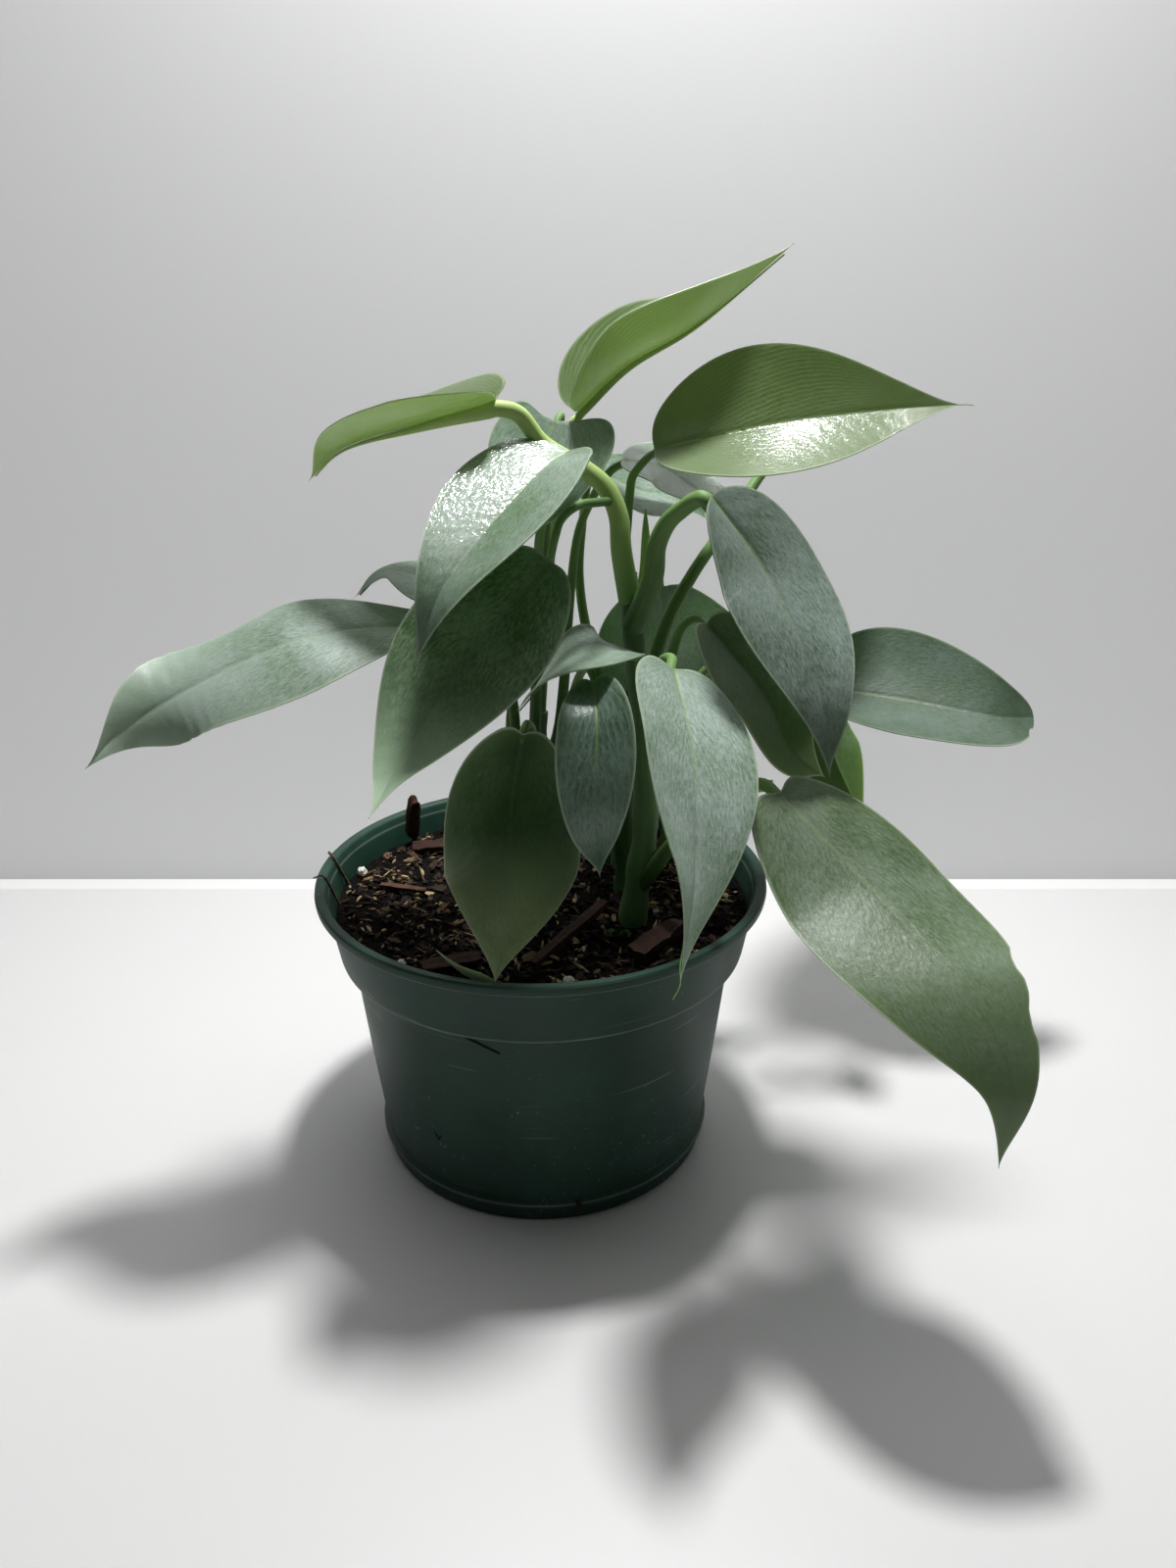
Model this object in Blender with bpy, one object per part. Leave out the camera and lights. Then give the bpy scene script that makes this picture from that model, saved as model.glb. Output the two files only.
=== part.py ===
"""A young silver-leaved philodendron in a round plastic nursery pot.

The pot stands on the floor with the centre of its underside at the origin, +Z up.
The front of the plant is on the -Y side. Plant sizes are in millimetres and are
turned to metres where a mesh is made.
"""
import math
from dataclasses import dataclass

import bmesh
import bpy
import numpy as np
from mathutils import Vector
from mathutils.bvhtree import BVHTree

MM = 0.001

# Pot: a moulded 6.5 inch azalea pot
POT_HEIGHT = 108.0
POT_RIM_RADIUS = 82.5
POT_WALL = 1.7
POT_SIDES = 40
FOOT_RADIUS = 61.8
RING_HEIGHT = 7.4
COLLAR_HEIGHT = 82.8
COLLAR_RADIUS = 75.2
LIP_DEPTH = 3.6
LIP_WIDTH = 3.2
DRAIN_HOLES = 6
DRAIN_RADIUS = 5.0
DRAIN_CIRCLE = 46.0

# Soil: its mean level, the height of its lumps and the play round what stands in it
SOIL_LEVEL = 97.5
SOIL_LUMPS = 1.6
SOIL_RINGS = 8
CLEARANCE = 0.3

# Leaves: how thick a blade is, its midrib underneath, and the mesh of one blade
BLADE_THICKNESS = 0.8
RIB_DEPTH = 1.1
BLADE_ROWS = 10
BLADE_COLUMNS = (-1.0, -0.62, -0.16, 0.0, 0.16, 0.62, 1.0)
PETIOLE_STEPS = 2
SEED = 7

MATERIALS = {
    "pot_green": ((0.016, 0.065, 0.038), 0.42),
    "soil_dark": ((0.022, 0.014, 0.010), 0.95),
    "stem_green": ((0.055, 0.130, 0.030), 0.45),
    "leaf_silver": ((0.190, 0.290, 0.215), 0.38),
    "leaf_young": ((0.190, 0.340, 0.075), 0.35),
    "bark_brown": ((0.110, 0.055, 0.030), 0.90),
    "perlite_white": ((0.720, 0.700, 0.640), 0.85),
}


@dataclass
class Leaf:
    """One leaf: a blade on its midrib, and the petiole from the blade's base to a stem.

    face is where the upper side looks at the base and face_tip where it looks at the tip.
    fold is the rise of each half in degrees, curl how much more a half bends towards its
    margin, lobe how far the base runs back past the petiole, as a share of the length,
    and peak where along the blade it is widest.
    """
    name: str
    stem: str
    midrib: tuple
    width: float
    face: tuple
    face_tip: tuple
    petiole: tuple
    thick: tuple = (1.4, 2.4)
    fold: float = 5.0
    curl: float = 0.0
    lobe: float = 0.10
    peak: float = 0.39
    sharp: float = 0.35
    wave: float = 0.0
    material: str = "leaf_silver"


@dataclass
class Stem:
    """One shoot out of the soil: its route, its thickness and its joints."""
    name: str
    route: tuple
    bottom: float
    top: float
    joints: int


STEMS = (
    Stem("stem_main", ((32, -20, 68), (33, -20, 98), (35, -19, 115), (37, -17, 131), (37, -14, 148),
                       (36, -12, 169), (34, -10, 186), (32, -8, 202), (30, -5, 220)), 5.2, 3.2, 7),
    Stem("stem_left", ((-9, 22, 68), (-8, 22, 98), (-5, 21, 122), (-2, 20, 144), (-1, 21, 163)),
         5.0, 3.2, 5),
    Stem("stem_back", ((30, 25, 68), (30, 25, 98), (31, 27, 130), (33, 30, 166)), 4.8, 3.6, 4),
)

LEAVES = (
    Leaf("leaf_top", "stem_left",
         ((13, 20, 269), (30, 23, 284), (53, 23, 297), (84, 27, 321)), 44,
         (-0.54, -0.19, 0.82), (-0.54, 0.22, 0.82),
         ((11, 20, 263), (8, 24, 243), (4, 28, 222), (2, 30, 193), (0, 29, 172), (-1, 27, 159),
          (-2, 21, 147)),
         fold=28, curl=29, peak=0.34, material="leaf_young"),
    Leaf("leaf_right_top", "stem_main",
         ((39, 10, 258), (82, 7, 267), (114, 5, 271), (137, 1, 273)), 54,
         (0.06, -0.59, 0.81), (0.28, -0.85, 0.44),
         ((36, 7, 255), (32, 6, 250), (31, 5, 245), (30, 4, 233), (29, 2, 222), (30, -4, 211)),
         thick=(1.3, 2.1), fold=14, curl=12, lobe=0.07, peak=0.37, material="leaf_young"),
    Leaf("leaf_left_top", "stem_main",
         ((-11, -16, 276), (-37, -4, 268), (-62, 1, 260), (-76, 9, 248)), 40,
         (0.0, -0.21, 0.98), (-0.04, 0.28, 0.96),
         ((-4, -13, 271), (2, -11, 263), (9, -9, 258), (16, -8, 254), (23, -8, 248), (27, -9, 239),
          (28, -10, 228), (31, -6, 211)),
         thick=(2.1, 2.7), fold=33, curl=-20, lobe=0.14, peak=0.39, material="leaf_young"),
    Leaf("leaf_left_gloss", "stem_left",
         ((11, -18, 261), (1, -30, 255), (-23, -60, 230), (-33, -67, 207)), 42,
         (-0.21, -0.32, 0.92), (-0.34, -0.91, 0.24),
         ((8, -16, 254), (4, -10, 243), (1, -5, 230), (0, 1, 208), (-1, 7, 182), (-2, 12, 163),
          (-3, 20, 144)),
         fold=16, curl=-5, lobe=0.08, peak=0.33),
    Leaf("leaf_crown", "stem_left",
         ((6, 12, 267), (-1, 5, 252), (-8, 4, 235), (-10, 4, 220)), 47,
         (-0.25, -0.57, 0.78), (-0.36, -0.89, 0.27),
         ((8, 17, 268), (7, 21, 262), (4, 22, 246), (2, 22, 225), (0, 22, 188), (-1, 21, 156)),
         fold=-7, lobe=0.28, peak=0.26),
    Leaf("leaf_left_front", "leaf_left_top",
         ((5, -34, 230), (-21, -53, 202), (-38, -68, 178), (-46, -85, 166)), 47,
         (0.08, -0.80, 0.58), (-0.47, -0.64, 0.61),
         ((7, -33, 237), (9, -29, 242), (14, -23, 245), (20, -17, 245), (25, -8, 244)),
         thick=(1.3, 1.5), fold=9, curl=2, lobe=0.09, peak=0.40),
    Leaf("leaf_far_left", "stem_left",
         ((-34, -12, 205), (-76, -31, 204), (-124, -41, 182), (-138, -56, 170)), 46,
         (0.24, -0.21, 0.95), (0.93, 0.10, 0.36),
         ((-29, -3, 204), (-18, 6, 198), (-12, 12, 184), (-10, 16, 166), (-9, 18, 150),
          (-4, 21, 128)),
         fold=10, curl=-34, lobe=0.12, peak=0.50, wave=1.2),
    Leaf("leaf_left_small", "stem_left",
         ((-14, -1, 220), (-31, -3, 217), (-50, -2, 220), (-61, -8, 212)), 28,
         (-0.20, -0.45, 0.87), (-0.30, 0.04, 0.96),
         ((-11, 7, 215), (-9, 17, 200), (-10, 24, 174), (-12, 27, 150), (-6, 22, 117)),
         thick=(1.2, 2.2), fold=0, curl=-9),
    Leaf("leaf_front_dark", "stem_left",
         ((-4, -32, 173), (-8, -40, 150), (-8, -57, 132), (-12, -76, 106)), 53,
         (0.0, -1.0, 0.05), (0.09, -1.0, 0.12),
         ((-3, -25, 174), (-2, -12, 166), (-5, 2, 149), (-6, 11, 132), (-7, 22, 110)),
         fold=-20, curl=-28, lobe=0.13, peak=0.45),
    Leaf("leaf_front_small", "stem_left",
         ((19, -33, 191), (20, -48, 180), (19, -56, 153), (21, -48, 129)), 27,
         (-0.20, -0.96, 0.18), (0.15, -0.94, 0.30),
         ((18, -28, 193), (16, -18, 191), (13, -4, 181), (9, 8, 160), (4, 15, 142), (-5, 21, 121)),
         thick=(1.3, 2.3), fold=18, curl=12, lobe=0.13, peak=0.41),
    Leaf("leaf_front_light", "stem_main",
         ((43, -52, 201), (47, -85, 183), (46, -110, 160), (41, -133, 140)), 44,
         (0.49, -0.77, 0.41), (0.31, -0.81, -0.51),
         ((43, -42, 201), (41, -33, 198), (39, -22, 189), (36, -12, 172)),
         thick=(1.6, 2.6), fold=7, curl=7, lobe=0.11, peak=0.36),
    Leaf("leaf_arched", "stem_main",
         ((33, -16, 196), (23, -22, 198), (8, -22, 194), (-8, -15, 174)), 35,
         (-0.30, -0.18, 0.94), (0.04, -0.11, 0.99),
         ((34, -14, 193), (35, -11, 183)),
         thick=(1.4, 2.0), fold=0, curl=18, lobe=0.03, peak=0.38),
    Leaf("leaf_right_droop", "stem_main",
         ((54, -37, 250), (72, -38, 226), (87, -56, 194), (91, -60, 169)), 46,
         (0.81, -0.56, 0.17), (0.17, -0.80, 0.58),
         ((50, -31, 248), (46, -25, 244), (42, -20, 239), (39, -17, 231), (38, -15, 220),
          (32, -8, 202)),
         thick=(2.3, 3.6), fold=12, curl=-18, lobe=0.06, peak=0.38),
    Leaf("leaf_right_green", "stem_main",
         ((58, 6, 200), (77, -6, 179), (86, -15, 162), (100, -10, 149)), 44,
         (0.58, -0.57, 0.58), (0.49, -0.82, 0.31),
         ((54, 5, 202), (49, 3, 199), (46, -2, 192), (43, -8, 182), (36, -12, 167)),
         thick=(1.5, 2.4), fold=16, curl=-6, lobe=0.13, peak=0.41),
    Leaf("leaf_right_under", "stem_back",
         ((93, 35, 186), (104, 33, 167), (110, 27, 144), (123, 19, 118)), 44,
         (-0.45, 0.75, 0.49), (-0.21, 0.84, 0.51),
         ((85, 35, 188), (71, 33, 183), (54, 30, 168), (31, 27, 132)),
         fold=32, curl=18, peak=0.40),
    Leaf("leaf_far_right", "stem_back",
         ((113, 79, 154), (148, 70, 151), (179, 60, 148), (198, 63, 146)), 58,
         (0.14, -0.50, 0.86), (0.21, -0.77, 0.60),
         ((102, 76, 158), (86, 64, 157), (68, 50, 151), (50, 37, 138), (31, 26, 116)),
         fold=11, curl=29, lobe=0.13, peak=0.36, sharp=-0.45),
    Leaf("leaf_low_right", "stem_main",
         ((75, -67, 167), (98, -88, 147), (117, -122, 133), (129, -136, 112), (128, -140, 87)), 54,
         (0.51, -0.72, 0.48), (0.07, -0.92, 0.38),
         ((70, -58, 166), (61, -48, 158), (50, -36, 141), (42, -26, 125), (34, -19, 108)),
         thick=(1.9, 3.0), fold=-3, curl=-14, lobe=0.13, peak=0.39),
    Leaf("leaf_back_upper", "stem_left",
         ((29, 24, 253), (43, 23, 250), (56, 18, 243), (72, 14, 241)), 33,
         (0.14, -0.32, 0.94), (0.13, -0.27, 0.95),
         ((24, 25, 248), (18, 28, 238), (13, 30, 224), (10, 29, 197), (8, 26, 170), (5, 24, 150),
          (-4, 21, 129)),
         fold=6),
    Leaf("leaf_back_lower", "stem_back",
         ((20, 36, 248), (36, 40, 240), (52, 43, 237), (61, 42, 229)), 34,
         (0.13, -0.40, 0.91), (0.14, -0.52, 0.84),
         ((17, 37, 243), (15, 37, 228), (14, 37, 208), (18, 35, 184), (31, 28, 142)),
         fold=8),
    Leaf("leaf_back_centre", "stem_back",
         ((44, 44, 204), (48, 53, 179), (55, 60, 155), (58, 67, 128)), 58,
         (-0.15, -0.70, 0.70), (0.09, -0.70, 0.70),
         ((43, 41, 207), (38, 37, 198), (35, 33, 182), (33, 30, 162)),
         thick=(1.5, 2.4), fold=0, curl=-6, peak=0.42),
    Leaf("leaf_behind", "stem_main",
         ((89, 62, 249), (101, 92, 256), (113, 122, 256), (124, 150, 245)), 46,
         (0.0, -0.20, 1.0), (0.10, 0.20, 0.95),
         ((82, 52, 246), (74, 43, 237), (64, 34, 225), (54, 26, 212), (45, 18, 197), (39, 8, 177),
          (37, -14, 152)),
         thick=(1.9, 2.9), fold=10),
)

# Bark and twigs: name, middle, length, width, height, turn about Z, lean out of level
BARK = (
    ("bark_stick_long", (12, -33), (50, 4.5, 3.2), 61, 0),
    ("bark_chunk", (42, -40), (27, 9.0, 6.0), 54, 0),
    ("bark_stick_short", (55, -12), (13, 3.2, 2.4), 12, 0),
    ("bark_flake", (-28, -52), (20, 8.0, 2.2), 20, 0),
    ("bark_plate", (-46, 40), (15, 10.0, 2.6), 8, 0),
    ("bark_stub", (-54, 47), (5, 4.0, 19.0), 35, 12),
    ("bark_twig", (-52, 2), (18, 2.6, 2.2), -14, 0),
)
PERLITE = (((-70, 16), 2.3), ((-45, -52), 2.0), ((-27, -62), 1.7), ((11, -64), 2.2), ((57, 30), 1.9))
SPIKE_ROUTE = ((32, -5, 206), (36, -3, 219), (36, -2, 241))
SPIKE_RADIUS = 2.1


def clear_scene():
    """Remove every object of the starting scene."""
    for item in list(bpy.data.objects):
        bpy.data.objects.remove(item, do_unlink=True)


def material(name):
    """Return the named finish, made once."""
    found = bpy.data.materials.get(name)
    if found:
        return found
    colour, roughness = MATERIALS[name]
    made = bpy.data.materials.new(name)
    made.use_nodes = True
    shader = made.node_tree.nodes["Principled BSDF"]
    shader.inputs["Base Color"].default_value = (*colour, 1.0)
    shader.inputs["Roughness"].default_value = roughness
    shader.inputs["Metallic"].default_value = 0.0
    return made


def new_object(name, mesh, finish=None):
    """Put a mesh into the scene as a named object."""
    item = bpy.data.objects.new(name, mesh)
    bpy.context.scene.collection.objects.link(item)
    if finish:
        mesh.materials.clear()
        mesh.materials.append(material(finish))
        mesh.shade_smooth()
        mesh.set_sharp_from_angle(angle=math.radians(40))
    return item


def mesh_from(name, points, faces):
    """Make a mesh from points in millimetres and face corners, facing out."""
    mesh = bpy.data.meshes.new(name)
    mesh.from_pydata([tuple(float(c) * MM for c in p) for p in points], [], faces)
    shape = bmesh.new()
    shape.from_mesh(mesh)
    bmesh.ops.recalc_face_normals(shape, faces=shape.faces)
    shape.to_mesh(mesh)
    shape.free()
    return mesh


def turned(name, profile, sides, finish):
    """Spin an (r, z) outline that starts and ends on the axis into a closed solid."""
    shape = bmesh.new()
    points = [shape.verts.new((r * MM, 0.0, z * MM)) for r, z in profile]
    edges = [shape.edges.new(pair) for pair in zip(points[:-1], points[1:])]
    bmesh.ops.spin(shape, geom=points + edges, axis=(0, 0, 1), cent=(0, 0, 0),
                   steps=sides, angle=math.tau, use_duplicate=False)
    bmesh.ops.remove_doubles(shape, verts=shape.verts, dist=1e-5)
    bmesh.ops.recalc_face_normals(shape, faces=shape.faces)
    mesh = bpy.data.meshes.new(name)
    shape.to_mesh(mesh)
    shape.free()
    return new_object(name, mesh, finish)


def combine(target, tool, operation):
    """Join or cut target with tool, keep the result as target's own mesh, drop the tool."""
    step = target.modifiers.new(operation.lower(), "BOOLEAN")
    step.operation = operation
    step.solver = "EXACT"
    step.object = tool
    bpy.context.view_layer.update()
    graph = bpy.context.evaluated_depsgraph_get()
    result = bpy.data.meshes.new_from_object(target.evaluated_get(graph))
    target.modifiers.clear()
    target.data = result
    bpy.data.objects.remove(tool, do_unlink=True)


def smooth_path(points, steps):
    """Return points of a smooth curve through the given ones, with steps in each stretch."""
    knots = np.asarray(points, float)
    knots = np.vstack([2 * knots[0] - knots[1], knots, 2 * knots[-1] - knots[-2]])
    path = []
    for i in range(1, len(knots) - 2):
        before, here, there, after = knots[i - 1:i + 3]
        for t in np.arange(steps) / steps:
            path.append(0.5 * (2 * here + (there - before) * t
                               + (2 * before - 5 * here + 4 * there - after) * t ** 2
                               + (3 * here - before - 3 * there + after) * t ** 3))
    path.append(knots[-2])
    return np.array(path)


def tube(name, path, radii, detail, extra=0.0):
    """Make a round tube along a path, with a radius at each point and closed ends."""
    curve = bpy.data.curves.new(name, "CURVE")
    curve.dimensions = "3D"
    curve.bevel_depth = MM
    curve.bevel_resolution = detail
    curve.use_fill_caps = True
    line = curve.splines.new("POLY")
    line.points.add(len(path) - 1)
    for knot, place, radius in zip(line.points, path, radii):
        knot.co = (*(place * MM), 1.0)
        knot.radius = radius + extra
    holder = new_object(name, curve)
    bpy.context.view_layer.update()
    graph = bpy.context.evaluated_depsgraph_get()
    mesh = bpy.data.meshes.new_from_object(holder.evaluated_get(graph))
    bpy.data.objects.remove(holder, do_unlink=True)
    shape = bmesh.new()
    shape.from_mesh(mesh)
    bmesh.ops.remove_doubles(shape, verts=shape.verts, dist=1e-6)
    bmesh.ops.recalc_face_normals(shape, faces=shape.faces)
    shape.to_mesh(mesh)
    shape.free()
    return new_object(name, mesh)


def pot_profile():
    """Return the pot's outline: up the outside, over the lip, down the inside."""
    neck = COLLAR_RADIUS - 4.8
    rim = POT_RIM_RADIUS
    top = POT_HEIGHT
    inner = rim - LIP_WIDTH
    outside = [(0, 0), (FOOT_RADIUS - 1.2, 0), (FOOT_RADIUS, 1.0), (FOOT_RADIUS, RING_HEIGHT - 2.0),
               (FOOT_RADIUS + 1.8, RING_HEIGHT - 1.0), (FOOT_RADIUS + 1.8, RING_HEIGHT + 0.6),
               (FOOT_RADIUS + 0.4, RING_HEIGHT + 2.0), (neck, COLLAR_HEIGHT - 1.8),
               (COLLAR_RADIUS - 0.4, COLLAR_HEIGHT), (COLLAR_RADIUS, COLLAR_HEIGHT + 1.4),
               (rim - 3.9, top - LIP_DEPTH - 1.2), (rim - 0.5, top - LIP_DEPTH), (rim, top - 1.6),
               (rim - 0.7, top)]
    inside = [(inner, top), (inner - 0.9, top - 1.0), (rim - 3.9 - POT_WALL, top - LIP_DEPTH - 2.0),
              (COLLAR_RADIUS - POT_WALL, COLLAR_HEIGHT + 2.2), (neck - POT_WALL, COLLAR_HEIGHT - 0.4),
              (FOOT_RADIUS - 0.4 - POT_WALL, RING_HEIGHT + 2.0), (FOOT_RADIUS - 2.2, POT_WALL + 0.6),
              (FOOT_RADIUS - 3.4, POT_WALL), (0, POT_WALL)]
    return outside, inside


def make_pot():
    """The moulded pot with its collar, lip, foot ring and drain holes."""
    outside, inside = pot_profile()
    pot = turned("pot", outside + inside, POT_SIDES, "pot_green")
    for i in range(DRAIN_HOLES):
        turn = math.tau * (i + 0.5) / DRAIN_HOLES
        bpy.ops.mesh.primitive_cylinder_add(
            vertices=10, radius=DRAIN_RADIUS * MM, depth=4 * POT_WALL * MM,
            location=(DRAIN_CIRCLE * MM * math.cos(turn), DRAIN_CIRCLE * MM * math.sin(turn),
                      0.5 * POT_WALL * MM))
        combine(pot, bpy.context.object, "DIFFERENCE")
    return pot


def soil_relief(x, y):
    """Return the height of the soil's lumps at a place, in millimetres."""
    lumps = (math.sin(0.17 * x + 0.6) * math.cos(0.14 * y - 0.4)
             + 0.6 * math.sin(0.31 * x - 0.23 * y + 1.9) + 0.4 * math.cos(0.43 * y + 0.29 * x))
    return SOIL_LUMPS * lumps / 2.0


def make_soil(stems):
    """The potting mix: it fills the pot and has a plain hole for each stem."""
    inside = pot_profile()[1]
    edge = COLLAR_RADIUS
    surface = [(edge * i / SOIL_RINGS, SOIL_LEVEL) for i in range(SOIL_RINGS + 1)]
    side = [(r - 2 * CLEARANCE, z + 0.5 * CLEARANCE) for r, z in inside[3:8]]
    floor = [(0, POT_WALL + CLEARANCE)]
    side[-1] = (side[-1][0], POT_WALL + CLEARANCE)
    soil = turned("soil", surface + side + floor, POT_SIDES, "soil_dark")
    for corner in soil.data.vertices:
        if abs(corner.co.z - SOIL_LEVEL * MM) < 1e-6:
            corner.co.z += soil_relief(corner.co.x / MM, corner.co.y / MM) * MM
    for stem in stems:
        combine(soil, stem_tube(stem, "hole", CLEARANCE), "DIFFERENCE")
    return soil


def stem_tube(stem, name, extra=0.0):
    """Make one stem, thicker at its joints; extra widens it all over, as a cutter."""
    path = smooth_path(stem.route, 2)
    along = np.linspace(0.0, 1.0, len(path))
    radii = stem.bottom + (stem.top - stem.bottom) * along
    radii = radii * (1.0 + 0.07 * np.cos(math.tau * stem.joints * along))
    if extra:
        path[0] = path[0] - (0, 0, extra)
        path[-1] = path[-1] + (path[-1] - path[-2]) / np.linalg.norm(path[-1] - path[-2]) * extra
    return tube(name, path, radii, 2, extra)


def unit(rows):
    """Scale each row to length one."""
    return rows / np.linalg.norm(rows, axis=-1, keepdims=True)


def blade_frame(leaf, along):
    """Return place, direction and upper side of the midrib at shares of its length."""
    path = smooth_path(leaf.midrib, 12)
    run = np.concatenate([[0.0], np.cumsum(np.linalg.norm(np.diff(path, axis=0), axis=1))])
    length = run[-1]
    reach = along * length
    inside = np.clip(reach, 0.0, length)

    def on_path(distance):
        return np.stack([np.interp(distance, run, path[:, k]) for k in range(3)], -1)

    nudge = 0.01 * length
    ahead = unit(on_path(np.clip(inside + nudge, 0, length)) - on_path(np.clip(inside - nudge, 0, length)))
    place = on_path(inside) + ahead * (reach - inside)[..., None]
    share = np.clip(along, 0.0, 1.0)[..., None]
    up = (1 - share) * np.asarray(leaf.face) + share * np.asarray(leaf.face_tip)
    up = unit(up - (up * ahead).sum(-1, keepdims=True) * ahead)
    return place, ahead, up


def blade_surface(leaf, along, across):
    """Return points of the blade's middle surface: along 0 to 1, across -1 to 1."""
    back = (1 - along) ** 2 * (1 - np.exp(-along / 0.06))
    place, ahead, up = blade_frame(leaf, along - leaf.lobe * back * np.abs(across) ** 1.5)
    sideways = np.cross(up, ahead)
    swell = math.log(0.5) / math.log(leaf.peak)
    half = 0.5 * leaf.width * np.sin(np.pi * along ** swell) ** (1 + leaf.sharp * along)
    out = np.abs(across) * half
    bend = 0.5 * math.radians(leaf.curl) * out ** 2 / (0.5 * leaf.width)
    slope = math.radians(leaf.fold)
    level = out * math.cos(slope) - bend * math.sin(slope)
    rise = out * math.sin(slope) + bend * math.cos(slope)
    rise = rise + (leaf.wave * across ** 2 * np.sin(3 * np.pi * along + np.sign(across))
                   * np.sin(np.pi * along))
    return place + sideways * (np.sign(across) * level)[..., None] + up * rise[..., None]


def blade_mesh(leaf):
    """Make the closed blade: two like faces a thickness apart and the wall round them."""
    rows = np.linspace(0.0, 1.0, BLADE_ROWS + 1)[1:-1]
    rows = np.concatenate([[0.035], rows])
    across = np.array(BLADE_COLUMNS)
    grid_u, grid_s = np.meshgrid(rows, across, indexing="ij")

    def surface(u, s):
        return blade_surface(leaf, np.clip(u, 1e-6, 1 - 1e-6), s)

    step = 0.01
    lengthwise = surface(grid_u + step, grid_s) - surface(grid_u - step, grid_s)
    crosswise = surface(grid_u, grid_s + step) - surface(grid_u, grid_s - step)
    upward = unit(np.cross(crosswise, lengthwise))
    middle = surface(grid_u, grid_s)
    facing = np.sign((upward * blade_frame(leaf, grid_u)[2]).sum(-1, keepdims=True))
    upward = upward * facing
    ends, _, end_up = blade_frame(leaf, np.array([0.0, 1.0]))
    rib = RIB_DEPTH * (1 - grid_u) * (np.abs(grid_s) < 0.01)
    top = middle + upward * 0.5 * BLADE_THICKNESS
    under = middle - upward * (0.5 * BLADE_THICKNESS + rib)[..., None]
    count, width = grid_u.shape
    points = []
    for layer, sign in ((top, 0.5), (under, -0.5)):
        points += list(layer.reshape(-1, 3))
        points += list(ends + end_up * sign * BLADE_THICKNESS)
    faces = []
    layer_size = count * width + 2
    for start in (0, layer_size):
        root, tip = start + count * width, start + count * width + 1
        for c in range(width - 1):
            faces.append((root, start + c, start + c + 1))
            last = start + (count - 1) * width
            faces.append((tip, last + c + 1, last + c))
            for r in range(count - 1):
                a = start + r * width + c
                faces += [(a, a + width, a + 1), (a + 1, a + width, a + width + 1)]
    loop = [count * width] + [r * width for r in range(count)] + [count * width + 1]
    loop += [r * width + width - 1 for r in reversed(range(count))]
    for a, b in zip(loop, loop[1:] + loop[:1]):
        faces += [(a, b, b + layer_size), (a, b + layer_size, a + layer_size)]
    return mesh_from(leaf.name, points, faces)


def petiole_tube(leaf, name, extra=0.0):
    """Make the leaf stalk: it starts under the midrib and thickens down to the stem."""
    under, _, up = blade_frame(leaf, np.array([0.14, 0.05]))
    sunk = under - up * np.array([[0.7], [0.9]])
    base = np.asarray(leaf.midrib[0], float)[None]
    path = smooth_path(np.vstack([sunk, base, np.asarray(leaf.petiole, float)]), PETIOLE_STEPS)
    run = np.concatenate([[0.0], np.cumsum(np.linalg.norm(np.diff(path, axis=0), axis=1))])
    share = run / run[-1]
    thin, thick = leaf.thick
    radii = thin + (thick - thin) * share ** 1.3
    radii[:4] *= (0.45, 0.6, 0.75, 0.9)
    return tube(name, path, radii, 1, extra)


def make_leaf(leaf, stems):
    """Blade and petiole in one piece, its foot cut to sit against what carries it."""
    item = new_object(leaf.name, blade_mesh(leaf))
    combine(item, petiole_tube(leaf, "stalk"), "UNION")
    if leaf.stem in stems:
        seat = stem_tube(stems[leaf.stem], "seat", CLEARANCE)
    else:
        carrier = next(other for other in LEAVES if other.name == leaf.stem)
        seat = petiole_tube(carrier, "seat", CLEARANCE)
    combine(item, seat, "DIFFERENCE")
    mesh = item.data
    mesh.materials.clear()
    mesh.materials.append(material(leaf.material))
    mesh.shade_smooth()
    mesh.set_sharp_from_angle(angle=math.radians(40))
    return item


def make_spike(stems):
    """The rolled new leaf that stands beside the top of the main stem."""
    path = smooth_path(SPIKE_ROUTE, 3)
    along = np.linspace(0.0, 1.0, len(path))
    item = tube("new_leaf_spike", path, SPIKE_RADIUS * (1.02 - along ** 2.5), 1)
    combine(item, stem_tube(stems["stem_main"], "seat", CLEARANCE), "DIFFERENCE")
    item.data.materials.append(material("leaf_young"))
    return item


def rise_over(tree, corners, towards):
    """Return the most that a surface reaches past the corners, seen along Z."""
    most = -1.0
    for corner in corners:
        start = Vector((corner.x, corner.y, -towards))
        hit = tree.ray_cast(start, Vector((0, 0, towards)))[0]
        if hit is not None:
            most = max(most, towards * (corner.z - hit.z))
    return most


def settle(item, soil_tree, soil_corners):
    """Turn the piece's own place into its mesh and lay it just clear of the soil."""
    mesh = item.data
    mesh.transform(item.matrix_world)
    item.matrix_world.identity()
    item.location, item.rotation_euler, item.scale = (0, 0, 0), (0, 0, 0), (1, 1, 1)
    shape = bmesh.new()
    shape.from_mesh(mesh)
    own_tree = BVHTree.FromBMesh(shape)
    edges = [a.co.lerp(b.co, t) for a, b in (edge.verts for edge in shape.edges)
             for t in (0.0, 0.25, 0.5, 0.75, 1.0)]
    lift = max(rise_over(soil_tree, edges, -1.0), rise_over(own_tree, soil_corners, 1.0))
    bmesh.ops.translate(shape, verts=shape.verts, vec=(0, 0, lift + CLEARANCE * MM))
    shape.to_mesh(mesh)
    shape.free()


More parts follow.
